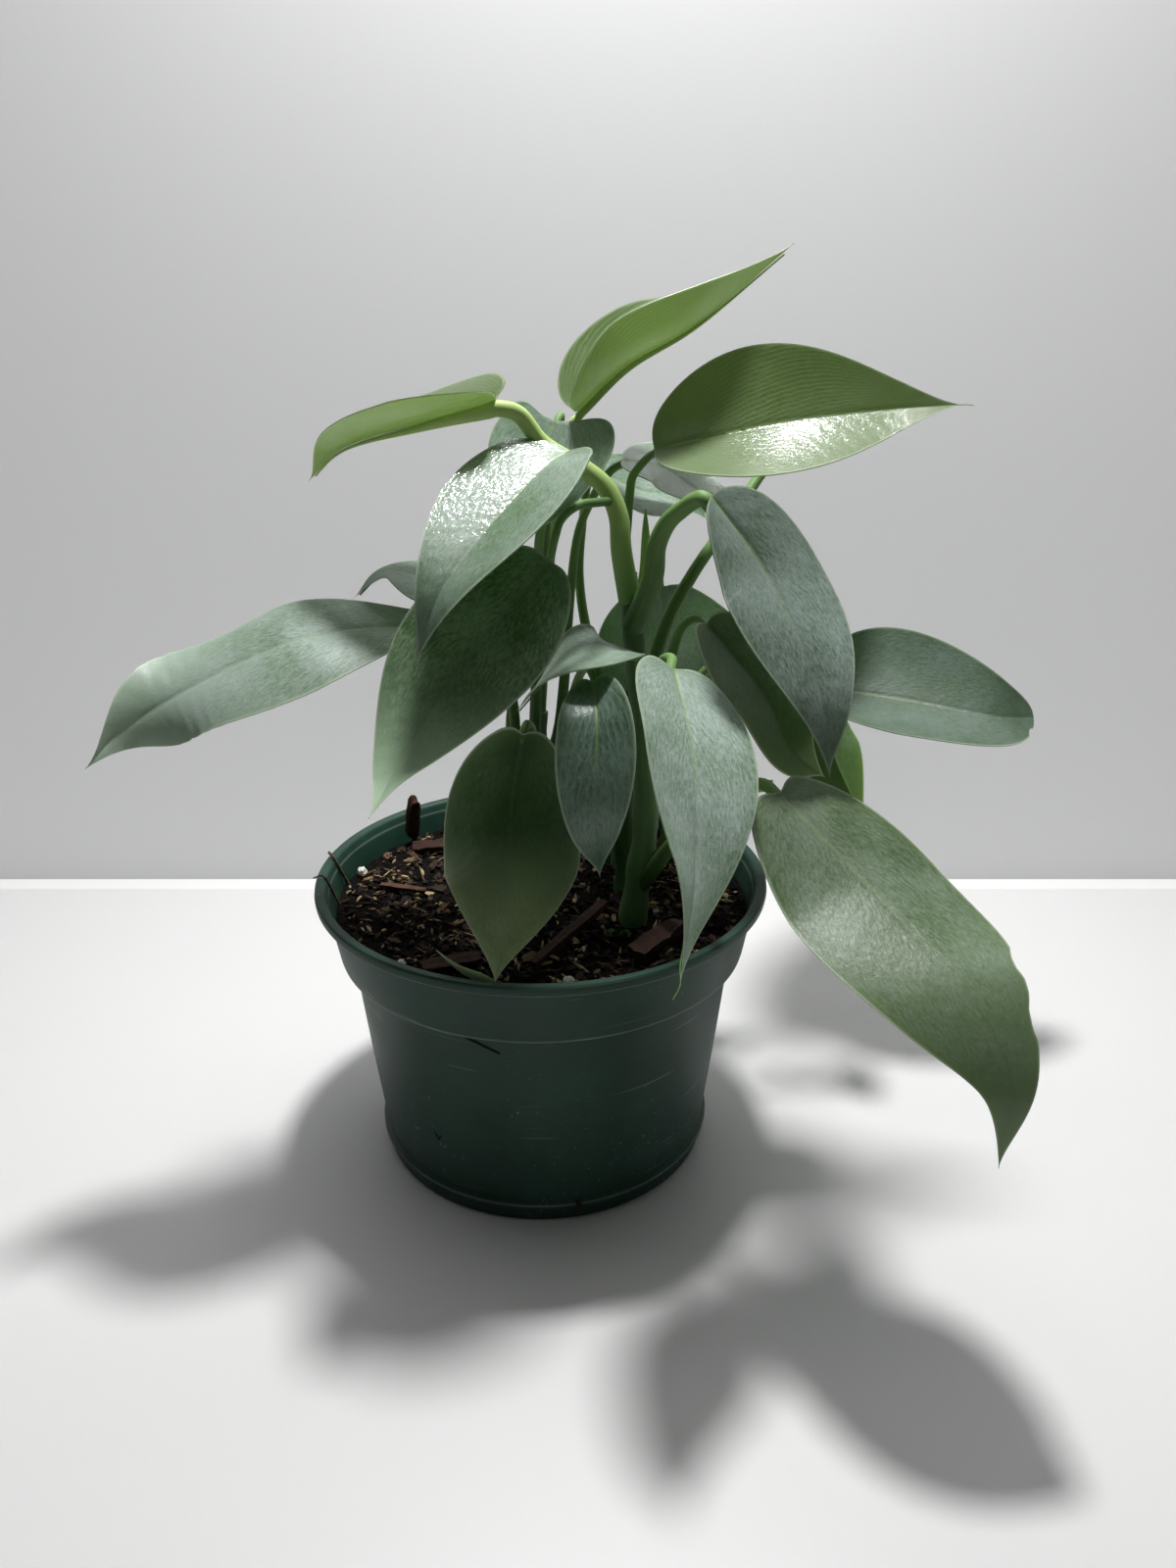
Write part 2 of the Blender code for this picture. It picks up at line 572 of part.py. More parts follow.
def make_bark(name, place, size, turn, lean, soil, draw):
    """A broken piece of bark: a bevelled block with its corners knocked about."""
    shape = bmesh.new()
    bmesh.ops.create_cube(shape, size=1.0)
    bmesh.ops.subdivide_edges(shape, edges=[e for e in shape.edges
                                            if abs(e.verts[0].co.x - e.verts[1].co.x) > 0.5],
                              cuts=2, use_grid_fill=True)
    for corner in shape.verts:
        shift = draw.uniform(-0.16, 0.16, 3)
        corner.co.x = (corner.co.x + 0.3 * shift[0]) * size[0] * MM
        corner.co.y = (corner.co.y + shift[1]) * size[1] * MM
        corner.co.z = (corner.co.z + shift[2]) * size[2] * MM
    bmesh.ops.triangulate(shape, faces=shape.faces)
    mesh = bpy.data.meshes.new(name)
    shape.to_mesh(mesh)
    shape.free()
    item = new_object(name, mesh, "bark_brown")
    item.rotation_euler = (math.radians(lean), 0, math.radians(turn))
    item.location = (place[0] * MM, place[1] * MM, SOIL_LEVEL * MM)
    bpy.context.view_layer.update()
    settle(item, *soil)
    return item


def make_perlite(name, place, radius, soil, draw):
    """One white grain of expanded perlite."""
    shape = bmesh.new()
    bmesh.ops.create_icosphere(shape, subdivisions=1, radius=radius * MM)
    for corner in shape.verts:
        corner.co *= draw.uniform(0.86, 1.12)
        corner.co.z *= 0.8
    mesh = bpy.data.meshes.new(name)
    shape.to_mesh(mesh)
    shape.free()
    item = new_object(name, mesh, "perlite_white")
    item.location = (place[0] * MM, place[1] * MM, SOIL_LEVEL * MM)
    bpy.context.view_layer.update()
    settle(item, *soil)
    return item


def build():
    """Make the pot, the soil, the stems, the leaves and what lies on the soil."""
    clear_scene()
    draw = np.random.default_rng(SEED)
    stems = {stem.name: stem for stem in STEMS}
    make_pot()
    soil = make_soil(STEMS)
    for stem in STEMS:
        item = stem_tube(stem, stem.name)
        item.data.materials.append(material("stem_green"))
        item.data.shade_smooth()
    for leaf in LEAVES:
        make_leaf(leaf, stems)
    make_spike(stems)
    shape = bmesh.new()
    shape.from_mesh(soil.data)
    surface = BVHTree.FromBMesh(shape), [corner.co.copy() for corner in shape.verts]
    shape.free()
    for name, place, size, turn, lean in BARK:
        make_bark(name, place, size, turn, lean, surface, draw)
    for number, (place, radius) in enumerate(PERLITE, start=1):
        make_perlite(f"perlite_{number}", place, radius, surface, draw)


build()
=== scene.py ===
"""Looks for a young silver-leaved philodendron in a round plastic nursery pot.

Every size is in millimetres and is turned to metres where a mesh is made. The pot stands
on the floor with the centre of its underside at the origin, +Z up, its front towards -Y.
Inside a material, sizes are in metres and a noise's scale counts its changes in a metre.
"""
import logging
import math
from collections.abc import Callable
from dataclasses import dataclass
from enum import Enum
from functools import cache

import bpy
import numpy as np
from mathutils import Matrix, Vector, noise


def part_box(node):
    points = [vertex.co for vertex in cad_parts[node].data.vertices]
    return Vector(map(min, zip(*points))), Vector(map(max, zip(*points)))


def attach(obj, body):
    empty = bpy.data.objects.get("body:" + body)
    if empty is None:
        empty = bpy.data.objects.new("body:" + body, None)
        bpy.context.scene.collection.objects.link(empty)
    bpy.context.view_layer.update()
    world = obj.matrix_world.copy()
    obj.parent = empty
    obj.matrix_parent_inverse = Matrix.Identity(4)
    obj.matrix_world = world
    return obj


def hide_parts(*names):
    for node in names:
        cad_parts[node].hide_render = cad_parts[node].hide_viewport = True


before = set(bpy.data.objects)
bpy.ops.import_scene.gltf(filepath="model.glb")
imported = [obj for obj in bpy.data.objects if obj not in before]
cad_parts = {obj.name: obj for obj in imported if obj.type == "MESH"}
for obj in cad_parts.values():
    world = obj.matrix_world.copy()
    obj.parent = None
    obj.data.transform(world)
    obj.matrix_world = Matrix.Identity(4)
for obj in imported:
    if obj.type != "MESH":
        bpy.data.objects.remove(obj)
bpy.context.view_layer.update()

MM = 0.001
LOG = logging.getLogger("philodendron")
# how strongly plant tissue and polypropylene bend light
TISSUE_IOR = 1.45
PLASTIC_IOR = 1.49
# corners closer than this are one corner, in metres
WELD = 2e-6
# how finely a midrib and a petiole are cut between two given points
MIDRIB_STEPS = 12
PETIOLE_STEPS = 6


def srgb(code: str) -> tuple[float, float, float, float]:
    """Turn an sRGB hex colour into a linear one.

    Args:
        code: The colour, such as "7C907F".

    Returns:
        Linear red, green and blue, and full opacity.
    """
    parts = [int(code[i:i + 2], 16) / 255 for i in (0, 2, 4)]
    linear = [c / 12.92 if c <= 0.04045 else ((c + 0.055) / 1.055) ** 2.4 for c in parts]
    return (*linear, 1.0)


def add_node(tree: bpy.types.NodeTree, kind: str, inputs: dict | None = None,
             stops: tuple = (), **settings: object) -> bpy.types.Node:
    """Add one node to a material, with its settings and links.

    Args:
        tree: The material's node tree.
        kind: The node's type, without Blender's ShaderNode before it.
        inputs: For each named or numbered input a number, a hex colour, a socket to link or
            a node whose first output is linked.
        stops: A ramp's places and colours.
        **settings: The node's own settings.

    Returns:
        The new node.
    """
    node = tree.nodes.new("ShaderNode" + kind)
    for key, value in settings.items():
        setattr(node, key, value)
    for key, value in (inputs or {}).items():
        source = value.outputs[0] if isinstance(value, bpy.types.Node) else value
        if isinstance(source, bpy.types.NodeSocket):
            tree.links.new(source, node.inputs[key])
        else:
            node.inputs[key].default_value = srgb(value) if isinstance(value, str) else value
    if stops:
        ramp = node.color_ramp.elements
        while len(ramp) < len(stops):
            ramp.new(0.5)
        for element, (place, colour) in zip(ramp, stops):
            element.position, element.color = place, colour
    return node


def new_material(name: str) -> tuple[bpy.types.Material, bpy.types.NodeTree]:
    """Make an empty node material.

    Args:
        name: The material's name.

    Returns:
        The material and its node tree, which holds the output node alone.
    """
    made = bpy.data.materials.new(name)
    made.use_nodes = True
    for node in [n for n in made.node_tree.nodes if n.type != "OUTPUT_MATERIAL"]:
        made.node_tree.nodes.remove(node)
    return made, made.node_tree


def close_material(tree: bpy.types.NodeTree, shader: bpy.types.NodeSocket) -> None:
    """Link the finished shader to the material's output.

    Args:
        tree: The material's node tree.
        shader: The shader's socket.
    """
    tree.links.new(shader, tree.nodes["Material Output"].inputs["Surface"])


@dataclass(frozen=True)
class LeafSkin:
    """The upper side of a fresh leaf: green cells under a waxy cuticle.

    The air under the cuticle gives the eye a silver veil over the green. It is broken into
    flecks that lie along the blade, thins out at the margin and is parted by the
    yellow-green midrib. Towards the lamp the cuticle shines like crumpled foil. Towards the
    tip the edge colour can be mixed in as well: painted light where that colour is pale and
    painted shade where it is dark.
    """
    name: str
    deep: str
    veil: str
    veil_share: float = 0.6
    mottle: float = 0.9
    edge_fade: float = 0.2
    edge: str = "5C7A4C"
    # share of the edge colour mixed in towards the tip: painted light with a pale edge colour, painted
    # shade with a dark one
    painted_tip_shading: float = 0.0
    rib: str = "9DB66F"
    rib_share: float = 0.6
    rim: str = "C9D4BE"
    rim_share: float = 0.5
    rough: float = 0.5
    coat: float = 0.2
    coat_rough: float = 0.3
    coat_ior: float = 1.5
    crumple: float = 0.3
    foil: float = 0.0003
    glow: str = "A6DC70"
    glow_share: float = 0.22
    vein_strength: float = 0.06
    vein_gap: float = 0.0016

    def pattern(self, tree: bpy.types.NodeTree) -> tuple:
        """Lay out the flecks, the veins, the rim and the midrib.

        Args:
            tree: The material's node tree.

        Returns:
            The sockets of the colour and of the height of the fine relief.
        """
        spot = add_node(tree, "TexCoord").outputs["Object"]
        veins = add_node(tree, "UVMap", uv_map="veins").outputs[0]
        vein = add_node(tree, "SeparateXYZ", {0: veins})
        reach = add_node(tree, "SeparateXYZ", {0: add_node(tree, "UVMap", uv_map="reach")})
        blade = add_node(tree, "SeparateXYZ", {0: add_node(tree, "UVMap", uv_map="blade")})
        # flecks 0.7 mm wide and 3 mm long, in clouds of two centimetres
        lengthwise = add_node(tree, "Mapping", {"Vector": veins, "Scale": (1300.0, 330.0, 1.0)})
        streak = add_node(tree, "TexNoise", {"Vector": lengthwise, "Scale": 1.0,
                                             "Detail": 3.0, "Roughness": 0.6})
        fleck = add_node(tree, "TexNoise", {"Vector": spot, "Scale": 1000.0, "Detail": 3.0,
                                            "Roughness": 0.65})
        cloud = add_node(tree, "TexNoise", {"Vector": spot, "Scale": 55.0, "Detail": 3.0})
        first = add_node(tree, "Math", {0: cloud, 1: 0.8, 2: streak}, operation="MULTIPLY_ADD")
        both = add_node(tree, "Math", {0: fleck, 1: 0.5, 2: first}, operation="MULTIPLY_ADD")
        half = 0.5 * self.mottle
        share = add_node(tree, "MapRange", {
            "Value": both, "From Min": 0.9, "From Max": 1.4,
            "To Min": self.veil_share - half, "To Max": self.veil_share + half})
        # the veil thins out over the last 5 mm before the margin
        edge = add_node(tree, "MapRange", {"Value": reach.outputs[1], "From Max": 0.005,
                                           "To Min": self.edge_fade, "To Max": 0.0})
        veil = add_node(tree, "Math", {0: share, 1: edge}, operation="SUBTRACT", use_clamp=True)
        # painted light or shade towards the tip: from 40 % of the length the edge colour is mixed in
        # more and more, a pale one as painted light, a dark one as painted shade
        painted_tip_shading = add_node(tree, "MapRange", {"Value": blade.outputs[1], "From Min": 0.4,
                                            "From Max": 1.0, "To Max": self.painted_tip_shading})
        edge_and_painted_tip = add_node(tree, "Math", {0: edge, 1: painted_tip_shading}, operation="ADD", use_clamp=True)
        green = add_node(tree, "Mix", {0: edge_and_painted_tip, 6: self.deep, 7: self.edge}, data_type="RGBA")
        body = add_node(tree, "Mix", {0: veil, 6: green.outputs[2], 7: self.veil}, data_type="RGBA")
        # thin veins that run from the base to the tip, bending with the margin
        wander = add_node(tree, "Math", {0: cloud, 1: 0.003, 2: vein}, operation="MULTIPLY_ADD")
        turns = add_node(tree, "Math", {0: wander, 1: math.tau / self.vein_gap}, operation="MULTIPLY")
        wave = add_node(tree, "Math", {0: turns}, operation="SINE")
        line = add_node(tree, "MapRange", {"Value": wave, "From Min": 0.3,
                                           "From Max": 1.0, "To Max": self.vein_strength})
        veined = add_node(tree, "Mix", {0: line, 6: body.outputs[2], 7: self.veil}, data_type="RGBA")
        # the pale rim, half a millimetre wide
        rim = add_node(tree, "MapRange", {"Value": reach.outputs[1], "From Min": 0.0003,
                                          "From Max": 0.0008, "To Min": self.rim_share,
                                          "To Max": 0.0})
        rimmed = add_node(tree, "Mix", {0: rim, 6: veined.outputs[2], 7: self.rim}, data_type="RGBA")
        # the midrib, 1.4 mm wide at the base and hardly seen at the tip
        side = add_node(tree, "Math", {0: reach}, operation="ABSOLUTE")
        narrow = add_node(tree, "MapRange", {"Value": blade.outputs[1], "To Min": 0.0014,
                                             "To Max": 0.0003})
        fade = add_node(tree, "MapRange", {"Value": blade.outputs[1], "From Max": 0.6,
                                           "To Min": self.rib_share, "To Max": 0.08})
        rib = add_node(tree, "MapRange", {"Value": side, "From Min": 0.0, "From Max": narrow,
                                          "To Min": fade, "To Max": 0.0})
        ribbed = add_node(tree, "Mix", {0: rib, 6: rimmed.outputs[2], 7: self.rib}, data_type="RGBA")
        height = add_node(tree, "Math", {0: streak, 1: fleck}, operation="ADD")
        return ribbed.outputs[2], height.outputs[0]

    def build(self) -> bpy.types.Material:
        """Make the material.

        Returns:
            The material, with its pattern on the blade's own maps.
        """
        made, tree = new_material(self.name)
        colour, height = self.pattern(tree)
        bump = add_node(tree, "Bump", {"Height": height, "Strength": self.crumple, "Distance": 0.0003})
        # the crumpling is a quarter of this size, drawn 1.5 mm wide so that it shows
        stretched = add_node(tree, "Mapping", {
            "Vector": add_node(tree, "UVMap", uv_map="veins"),
            "Scale": (820.0, 420.0, 1.0)})
        dents = add_node(tree, "TexNoise", {"Vector": stretched, "Scale": 1.0, "Detail": 2.0})
        foil = add_node(tree, "Bump", {"Height": dents, "Strength": 1.0, "Distance": self.foil})
        skin = add_node(tree, "BsdfPrincipled", {
            "Base Color": colour, "Roughness": self.rough, "IOR": TISSUE_IOR,
            "Coat Weight": self.coat, "Coat Roughness": self.coat_rough,
            "Coat IOR": self.coat_ior, "Normal": bump,
            "Coat Normal": foil})
        through = add_node(tree, "BsdfTranslucent", {"Color": self.glow})
        both = add_node(tree, "MixShader", {0: self.glow_share, 1: skin, 2: through})
        close_material(tree, both.outputs[0])
        return made


@dataclass(frozen=True)
class LeafUnderside:
    """The lower side of a fresh leaf: matt and paler, with the side veins standing out."""
    name: str
    colour: str
    vein: str
    glow: str = "BCE88F"
    glow_share: float = 0.4
    vein_gap: float = 0.0036

    def build(self) -> bpy.types.Material:
        """Make the material.

        Returns:
            The material, with its pattern on the blade's own maps.
        """
        made, tree = new_material(self.name)
        spot = add_node(tree, "TexCoord")
        vein_map = add_node(tree, "UVMap", uv_map="veins")
        vein = add_node(tree, "SeparateXYZ", {0: vein_map})
        cloud = add_node(tree, "TexNoise", {"Vector": spot.outputs["Object"], "Scale": 45.0,
                                            "Detail": 3.0})
        wander = add_node(tree, "Math", {0: cloud, 1: 0.003}, operation="MULTIPLY")
        run = add_node(tree, "Math", {0: vein, 1: wander}, operation="ADD")
        turns = add_node(tree, "Math", {0: run, 1: math.tau / self.vein_gap}, operation="MULTIPLY")
        wave = add_node(tree, "Math", {0: turns}, operation="SINE")
        line = add_node(tree, "MapRange", {"Value": wave, "From Min": 0.3,
                                           "From Max": 1.0, "To Max": 0.3})
        shade = add_node(tree, "MapRange", {"Value": cloud, "From Min": 0.3,
                                            "From Max": 0.7, "To Min": 0.88, "To Max": 1.12})
        body = add_node(tree, "HueSaturation", {"Color": self.colour, "Value": shade})
        veined = add_node(tree, "Mix", {0: line, 6: body, 7: self.vein}, data_type="RGBA")
        bump = add_node(tree, "Bump", {"Height": line, "Strength": 0.35, "Distance": 0.0003})
        skin = add_node(tree, "BsdfPrincipled", {
            "Base Color": veined.outputs[2], "Roughness": 0.55, "IOR": TISSUE_IOR,
            "Normal": bump})
        through = add_node(tree, "BsdfTranslucent", {"Color": self.glow})
        both = add_node(tree, "MixShader", {0: self.glow_share, 1: skin, 2: through})
        close_material(tree, both.outputs[0])
        return made


@dataclass(frozen=True)
class LeafMargin:
    """The thin horny edge of a leaf, which gives the eye a pale outline."""
    name: str
    colour: str

    def build(self) -> bpy.types.Material:
        """Make the material.

        Returns:
            The material.
        """
        made, tree = new_material(self.name)
        spot = add_node(tree, "TexCoord")
        cloud = add_node(tree, "TexNoise", {"Vector": spot.outputs["Object"], "Scale": 220.0})
        shade = add_node(tree, "MapRange", {"Value": cloud, "From Min": 0.3,
                                            "From Max": 0.7, "To Min": 0.8, "To Max": 1.1})
        body = add_node(tree, "HueSaturation", {"Color": self.colour, "Value": shade})
        skin = add_node(tree, "BsdfPrincipled", {"Base Color": body,
                                                 "Roughness": 0.4, "IOR": TISSUE_IOR})
        close_material(tree, skin.outputs[0])
        return made


@dataclass(frozen=True)
class StalkSkin:
    """A fleshy petiole or stem: smooth, juicy green, streaked along its length.

    Light goes a little way in, so its edges look softer and paler than paint would.
    """
    name: str
    top: str
    foot: str
    streak: str = "7C9A54"
    rough: float = 0.58

    def build(self) -> bpy.types.Material:
        """Make the material.

        Returns:
            The material, with its streaks on the stalk's own map.
        """
        made, tree = new_material(self.name)
        spot = add_node(tree, "TexCoord")
        along_map = add_node(tree, "UVMap", uv_map="UVMap")
        along = add_node(tree, "SeparateXYZ", {0: along_map})
        blend = add_node(tree, "MapRange", {"Value": along.outputs[1], "From Min": 0.25,
                                            "From Max": 0.9})
        body = add_node(tree, "Mix", {0: blend, 6: self.top, 7: self.foot}, data_type="RGBA")
        # streaks a few tenths of a millimetre wide, many times longer than wide
        long_way = add_node(tree, "Mapping", {"Vector": along_map, "Scale": (26.0, 3.0, 1.0)})
        grain = add_node(tree, "TexNoise", {"Vector": long_way, "Scale": 1.0, "Detail": 3.0})
        fleck = add_node(tree, "TexNoise", {"Vector": spot.outputs["Object"], "Scale": 900.0,
                                            "Detail": 1.0})
        line = add_node(tree, "MapRange", {"Value": grain, "From Min": 0.5,
                                           "From Max": 0.75, "To Max": 0.35})
        streaked = add_node(tree, "Mix", {0: line, 6: body.outputs[2],
                                          7: self.streak}, data_type="RGBA")
        bump = add_node(tree, "Bump", {"Height": fleck, "Strength": 0.15, "Distance": 0.0002})
        skin = add_node(tree, "BsdfPrincipled", {
            "Base Color": streaked.outputs[2], "Roughness": self.rough, "IOR": TISSUE_IOR,
            "Subsurface Weight": 0.3, "Subsurface Radius": (0.6, 1.0, 0.3),
            "Subsurface Scale": 0.001, "Normal": bump})
        close_material(tree, skin.outputs[0])
        return made


@dataclass(frozen=True)
class MouldedPolypropylene:
    """Injection-moulded polypropylene, dyed dark green.

    It gives a dull waxy wall, with a grey film of handling, a few thin scratches and the
    white specks that hard water leaves. Along the edges of its steps, at the heights given and
    over the width given, the same pale colour paints highlights.
    """
    name: str = "moulded_green_polypropylene"
    green: str = "143528"
    worn: str = "2C5043"
    # the pale grey of the lime specks and scratches, also used for the painted highlights on the step
    # edges
    lime_and_glint: str = "8E9A94"
    # heights of the step edges, and how wide the painted highlight along each is
    glint_heights: tuple = (0.0834, 0.0076, 0.1046)
    glint_width: float = 0.0006

    def painted_edge_glints(self, tree: bpy.types.NodeTree, height: bpy.types.NodeSocket,
               patchy: bpy.types.NodeSocket) -> bpy.types.NodeSocket:
        """Find the edges of the steps, where pale lines are painted as highlights.

        Args:
            tree: The material's node tree.
            height: The height over the floor.
            patchy: A noise that breaks the painted highlights up.

        Returns:
            How strongly each place takes a painted highlight.
        """
        most = None
        for edge in self.glint_heights:
            gap = add_node(tree, "Math", {0: height, 1: edge}, operation="SUBTRACT")
            far = add_node(tree, "Math", {0: gap}, operation="ABSOLUTE")
            near = add_node(tree, "MapRange", {"Value": far, "From Max": self.glint_width,
                                               "To Min": 0.9, "To Max": 0.0})
            if most is None:
                most = near.outputs[0]
            else:
                most = add_node(tree, "Math", {0: most, 1: near}, operation="MAXIMUM").outputs[0]
        return add_node(tree, "Math", {0: most, 1: patchy}, operation="MULTIPLY").outputs[0]

    def build(self) -> bpy.types.Material:
        """Make the material.

        Returns:
            The material, on object coordinates.
        """
        made, tree = new_material(self.name)
        spot = add_node(tree, "TexCoord").outputs["Object"]
        place = add_node(tree, "SeparateXYZ", {0: spot})
        cloud = add_node(tree, "TexNoise", {"Vector": spot, "Scale": 26.0, "Detail": 5.0,
                                            "Roughness": 0.65})
        film = add_node(tree, "MapRange", {"Value": cloud, "From Min": 0.38,
                                           "From Max": 0.72, "To Max": 0.6})
        body = add_node(tree, "Mix", {0: film, 6: self.green, 7: self.worn}, data_type="RGBA")
        # white hard-water specks under a millimetre wide, thickest on the lowest 6 cm of the wall
        specks = add_node(tree, "TexNoise", {"Vector": spot, "Scale": 650.0, "Detail": 2.0})
        low = add_node(tree, "MapRange", {"Value": place.outputs[2], "From Max": 0.06,
                                          "To Min": 0.06, "To Max": 0.0})
        patch = add_node(tree, "Math", {0: cloud, 1: 0.25, 2: low}, operation="MULTIPLY_ADD")
        drop = add_node(tree, "Math", {0: specks, 1: patch}, operation="ADD")
        mark = add_node(tree, "MapRange", {"Value": drop, "From Min": 0.84,
                                           "From Max": 0.94, "To Max": 0.45})
        limed = add_node(tree, "Mix", {0: mark, 6: body.outputs[2], 7: self.lime_and_glint}, data_type="RGBA")
        # hair-fine handling scratches, drawn 0.4 mm wide so that they show
        slant = add_node(tree, "Mapping", {"Vector": spot, "Rotation": (0.3, 0.45, 0.0),
                                           "Scale": (30.0, 30.0, 1300.0)})
        strand = add_node(tree, "TexNoise", {"Vector": slant, "Scale": 1.0, "Detail": 1.0})
        scratch = add_node(tree, "MapRange", {"Value": strand, "From Min": 0.73,
                                              "From Max": 0.79, "To Max": 0.4})
        # painted highlights along the step edges, in the same pale colour as the scratches
        painted_edge_glints = self.painted_edge_glints(tree, place.outputs[2], cloud.outputs[0])
        pale = add_node(tree, "Math", {0: scratch, 1: painted_edge_glints}, operation="MAXIMUM")
        scratches_and_glints = add_node(tree, "Mix", {0: pale, 6: limed.outputs[2],
                                           7: self.lime_and_glint}, data_type="RGBA")
        grain = add_node(tree, "TexNoise", {"Vector": spot, "Scale": 1400.0, "Detail": 2.0})
        rough = add_node(tree, "MapRange", {"Value": cloud, "From Min": 0.3,
                                            "From Max": 0.7, "To Min": 0.46, "To Max": 0.6})
        bump = add_node(tree, "Bump", {"Height": grain, "Strength": 0.12, "Distance": 0.0002})
        skin = add_node(tree, "BsdfPrincipled", {
            "Base Color": scratches_and_glints.outputs[2], "Roughness": rough,
            "IOR": PLASTIC_IOR, "Specular IOR Level": 0.4, "Normal": bump})
        close_material(tree, skin.outputs[0])
        return made


@dataclass(frozen=True)
class PottingMix:
    """Damp peat and composted bark: almost black and crumbly, with browner patches."""
    name: str = "damp_peat"
    peat: str = "0A0807"
    crumb: str = "1E1611"

    def build(self) -> bpy.types.Material:
        """Make the material.

        Returns:
            The material, on object coordinates.
        """
        made, tree = new_material(self.name)
        spot = add_node(tree, "TexCoord")
        # crumbs 1 to 2 mm across
        crumbs = add_node(tree, "TexVoronoi", {"Vector": spot.outputs["Object"], "Scale": 620.0})
        cloud = add_node(tree, "TexNoise", {"Vector": spot.outputs["Object"], "Scale": 260.0,
                                            "Detail": 5.0})
        share = add_node(tree, "MapRange", {"Value": cloud, "From Min": 0.5, "From Max": 0.72})
        body = add_node(tree, "Mix", {0: share, 6: self.peat, 7: self.crumb}, data_type="RGBA")
        bump = add_node(tree, "Bump", {"Height": crumbs, "Strength": 0.9, "Distance": 0.0008})
        skin = add_node(tree, "BsdfPrincipled", {
            "Base Color": body.outputs[2], "Roughness": 0.95, "Specular IOR Level": 0.1,
            "Normal": bump})
        close_material(tree, skin.outputs[0])
        return made


@dataclass(frozen=True)
class LooseBits:
    """Bits of the mix whose colour changes from piece to piece: bark, fibre or perlite.

    Each piece carries a tone from 0 to 1, and the grain on it is finer than a millimetre.
    """
    name: str
    tones: tuple
    rough: float = 0.8
    grain_scale: float = 700.0

    def build(self) -> bpy.types.Material:
        """Make the material.

        Returns:
            The material, with its colour from the piece's own tone.
        """
        made, tree = new_material(self.name)
        spot = add_node(tree, "TexCoord")
        tone = add_node(tree, "Attribute", attribute_name="tone")
        stops = tuple((i / (len(self.tones) - 1), srgb(code)) for i, code in enumerate(self.tones))
        ramp = add_node(tree, "ValToRGB", {0: tone.outputs["Fac"]}, stops=stops)
        grain = add_node(tree, "TexNoise", {"Vector": spot.outputs["Object"],
                                            "Scale": self.grain_scale, "Detail": 3.0})
        shade = add_node(tree, "MapRange", {"Value": grain, "From Min": 0.3,
                                            "From Max": 0.7, "To Min": 0.6, "To Max": 1.3})
        body = add_node(tree, "HueSaturation", {"Color": ramp, "Value": shade})
        bump = add_node(tree, "Bump", {"Height": grain, "Strength": 0.6, "Distance": 0.0004})
        skin = add_node(tree, "BsdfPrincipled", {
            "Base Color": body, "Roughness": self.rough,
            "Specular IOR Level": 0.2, "Normal": bump})
        close_material(tree, skin.outputs[0])
        return made


@dataclass(frozen=True)
class MattPaint:
    """Matt paint in a plain room, with the faint texture that a roller leaves.

    clear_behind is for a sheet that a camera behind it may look through.
    """
    name: str
    colour: str
    rough: float = 0.6
    clear_behind: bool = False

    def build(self) -> bpy.types.Material:
        """Make the material.

        Returns:
            The material, on object coordinates.
        """
        made, tree = new_material(self.name)
        spot = add_node(tree, "TexCoord")
        grain = add_node(tree, "TexNoise", {"Vector": spot.outputs["Object"], "Scale": 500.0,
                                            "Detail": 3.0})
        bump = add_node(tree, "Bump", {"Height": grain, "Strength": 0.08, "Distance": 0.0004})
        skin = add_node(tree, "BsdfPrincipled", {
            "Base Color": self.colour, "Roughness": self.rough,
            "Normal": bump})
        paint = skin.outputs[0]
        if self.clear_behind:
            side = add_node(tree, "NewGeometry")
            clear = add_node(tree, "BsdfTransparent")
            paint = add_node(tree, "MixShader", {0: side.outputs["Backfacing"], 1: paint,
                                                 2: clear}).outputs[0]
        close_material(tree, paint)
        return made


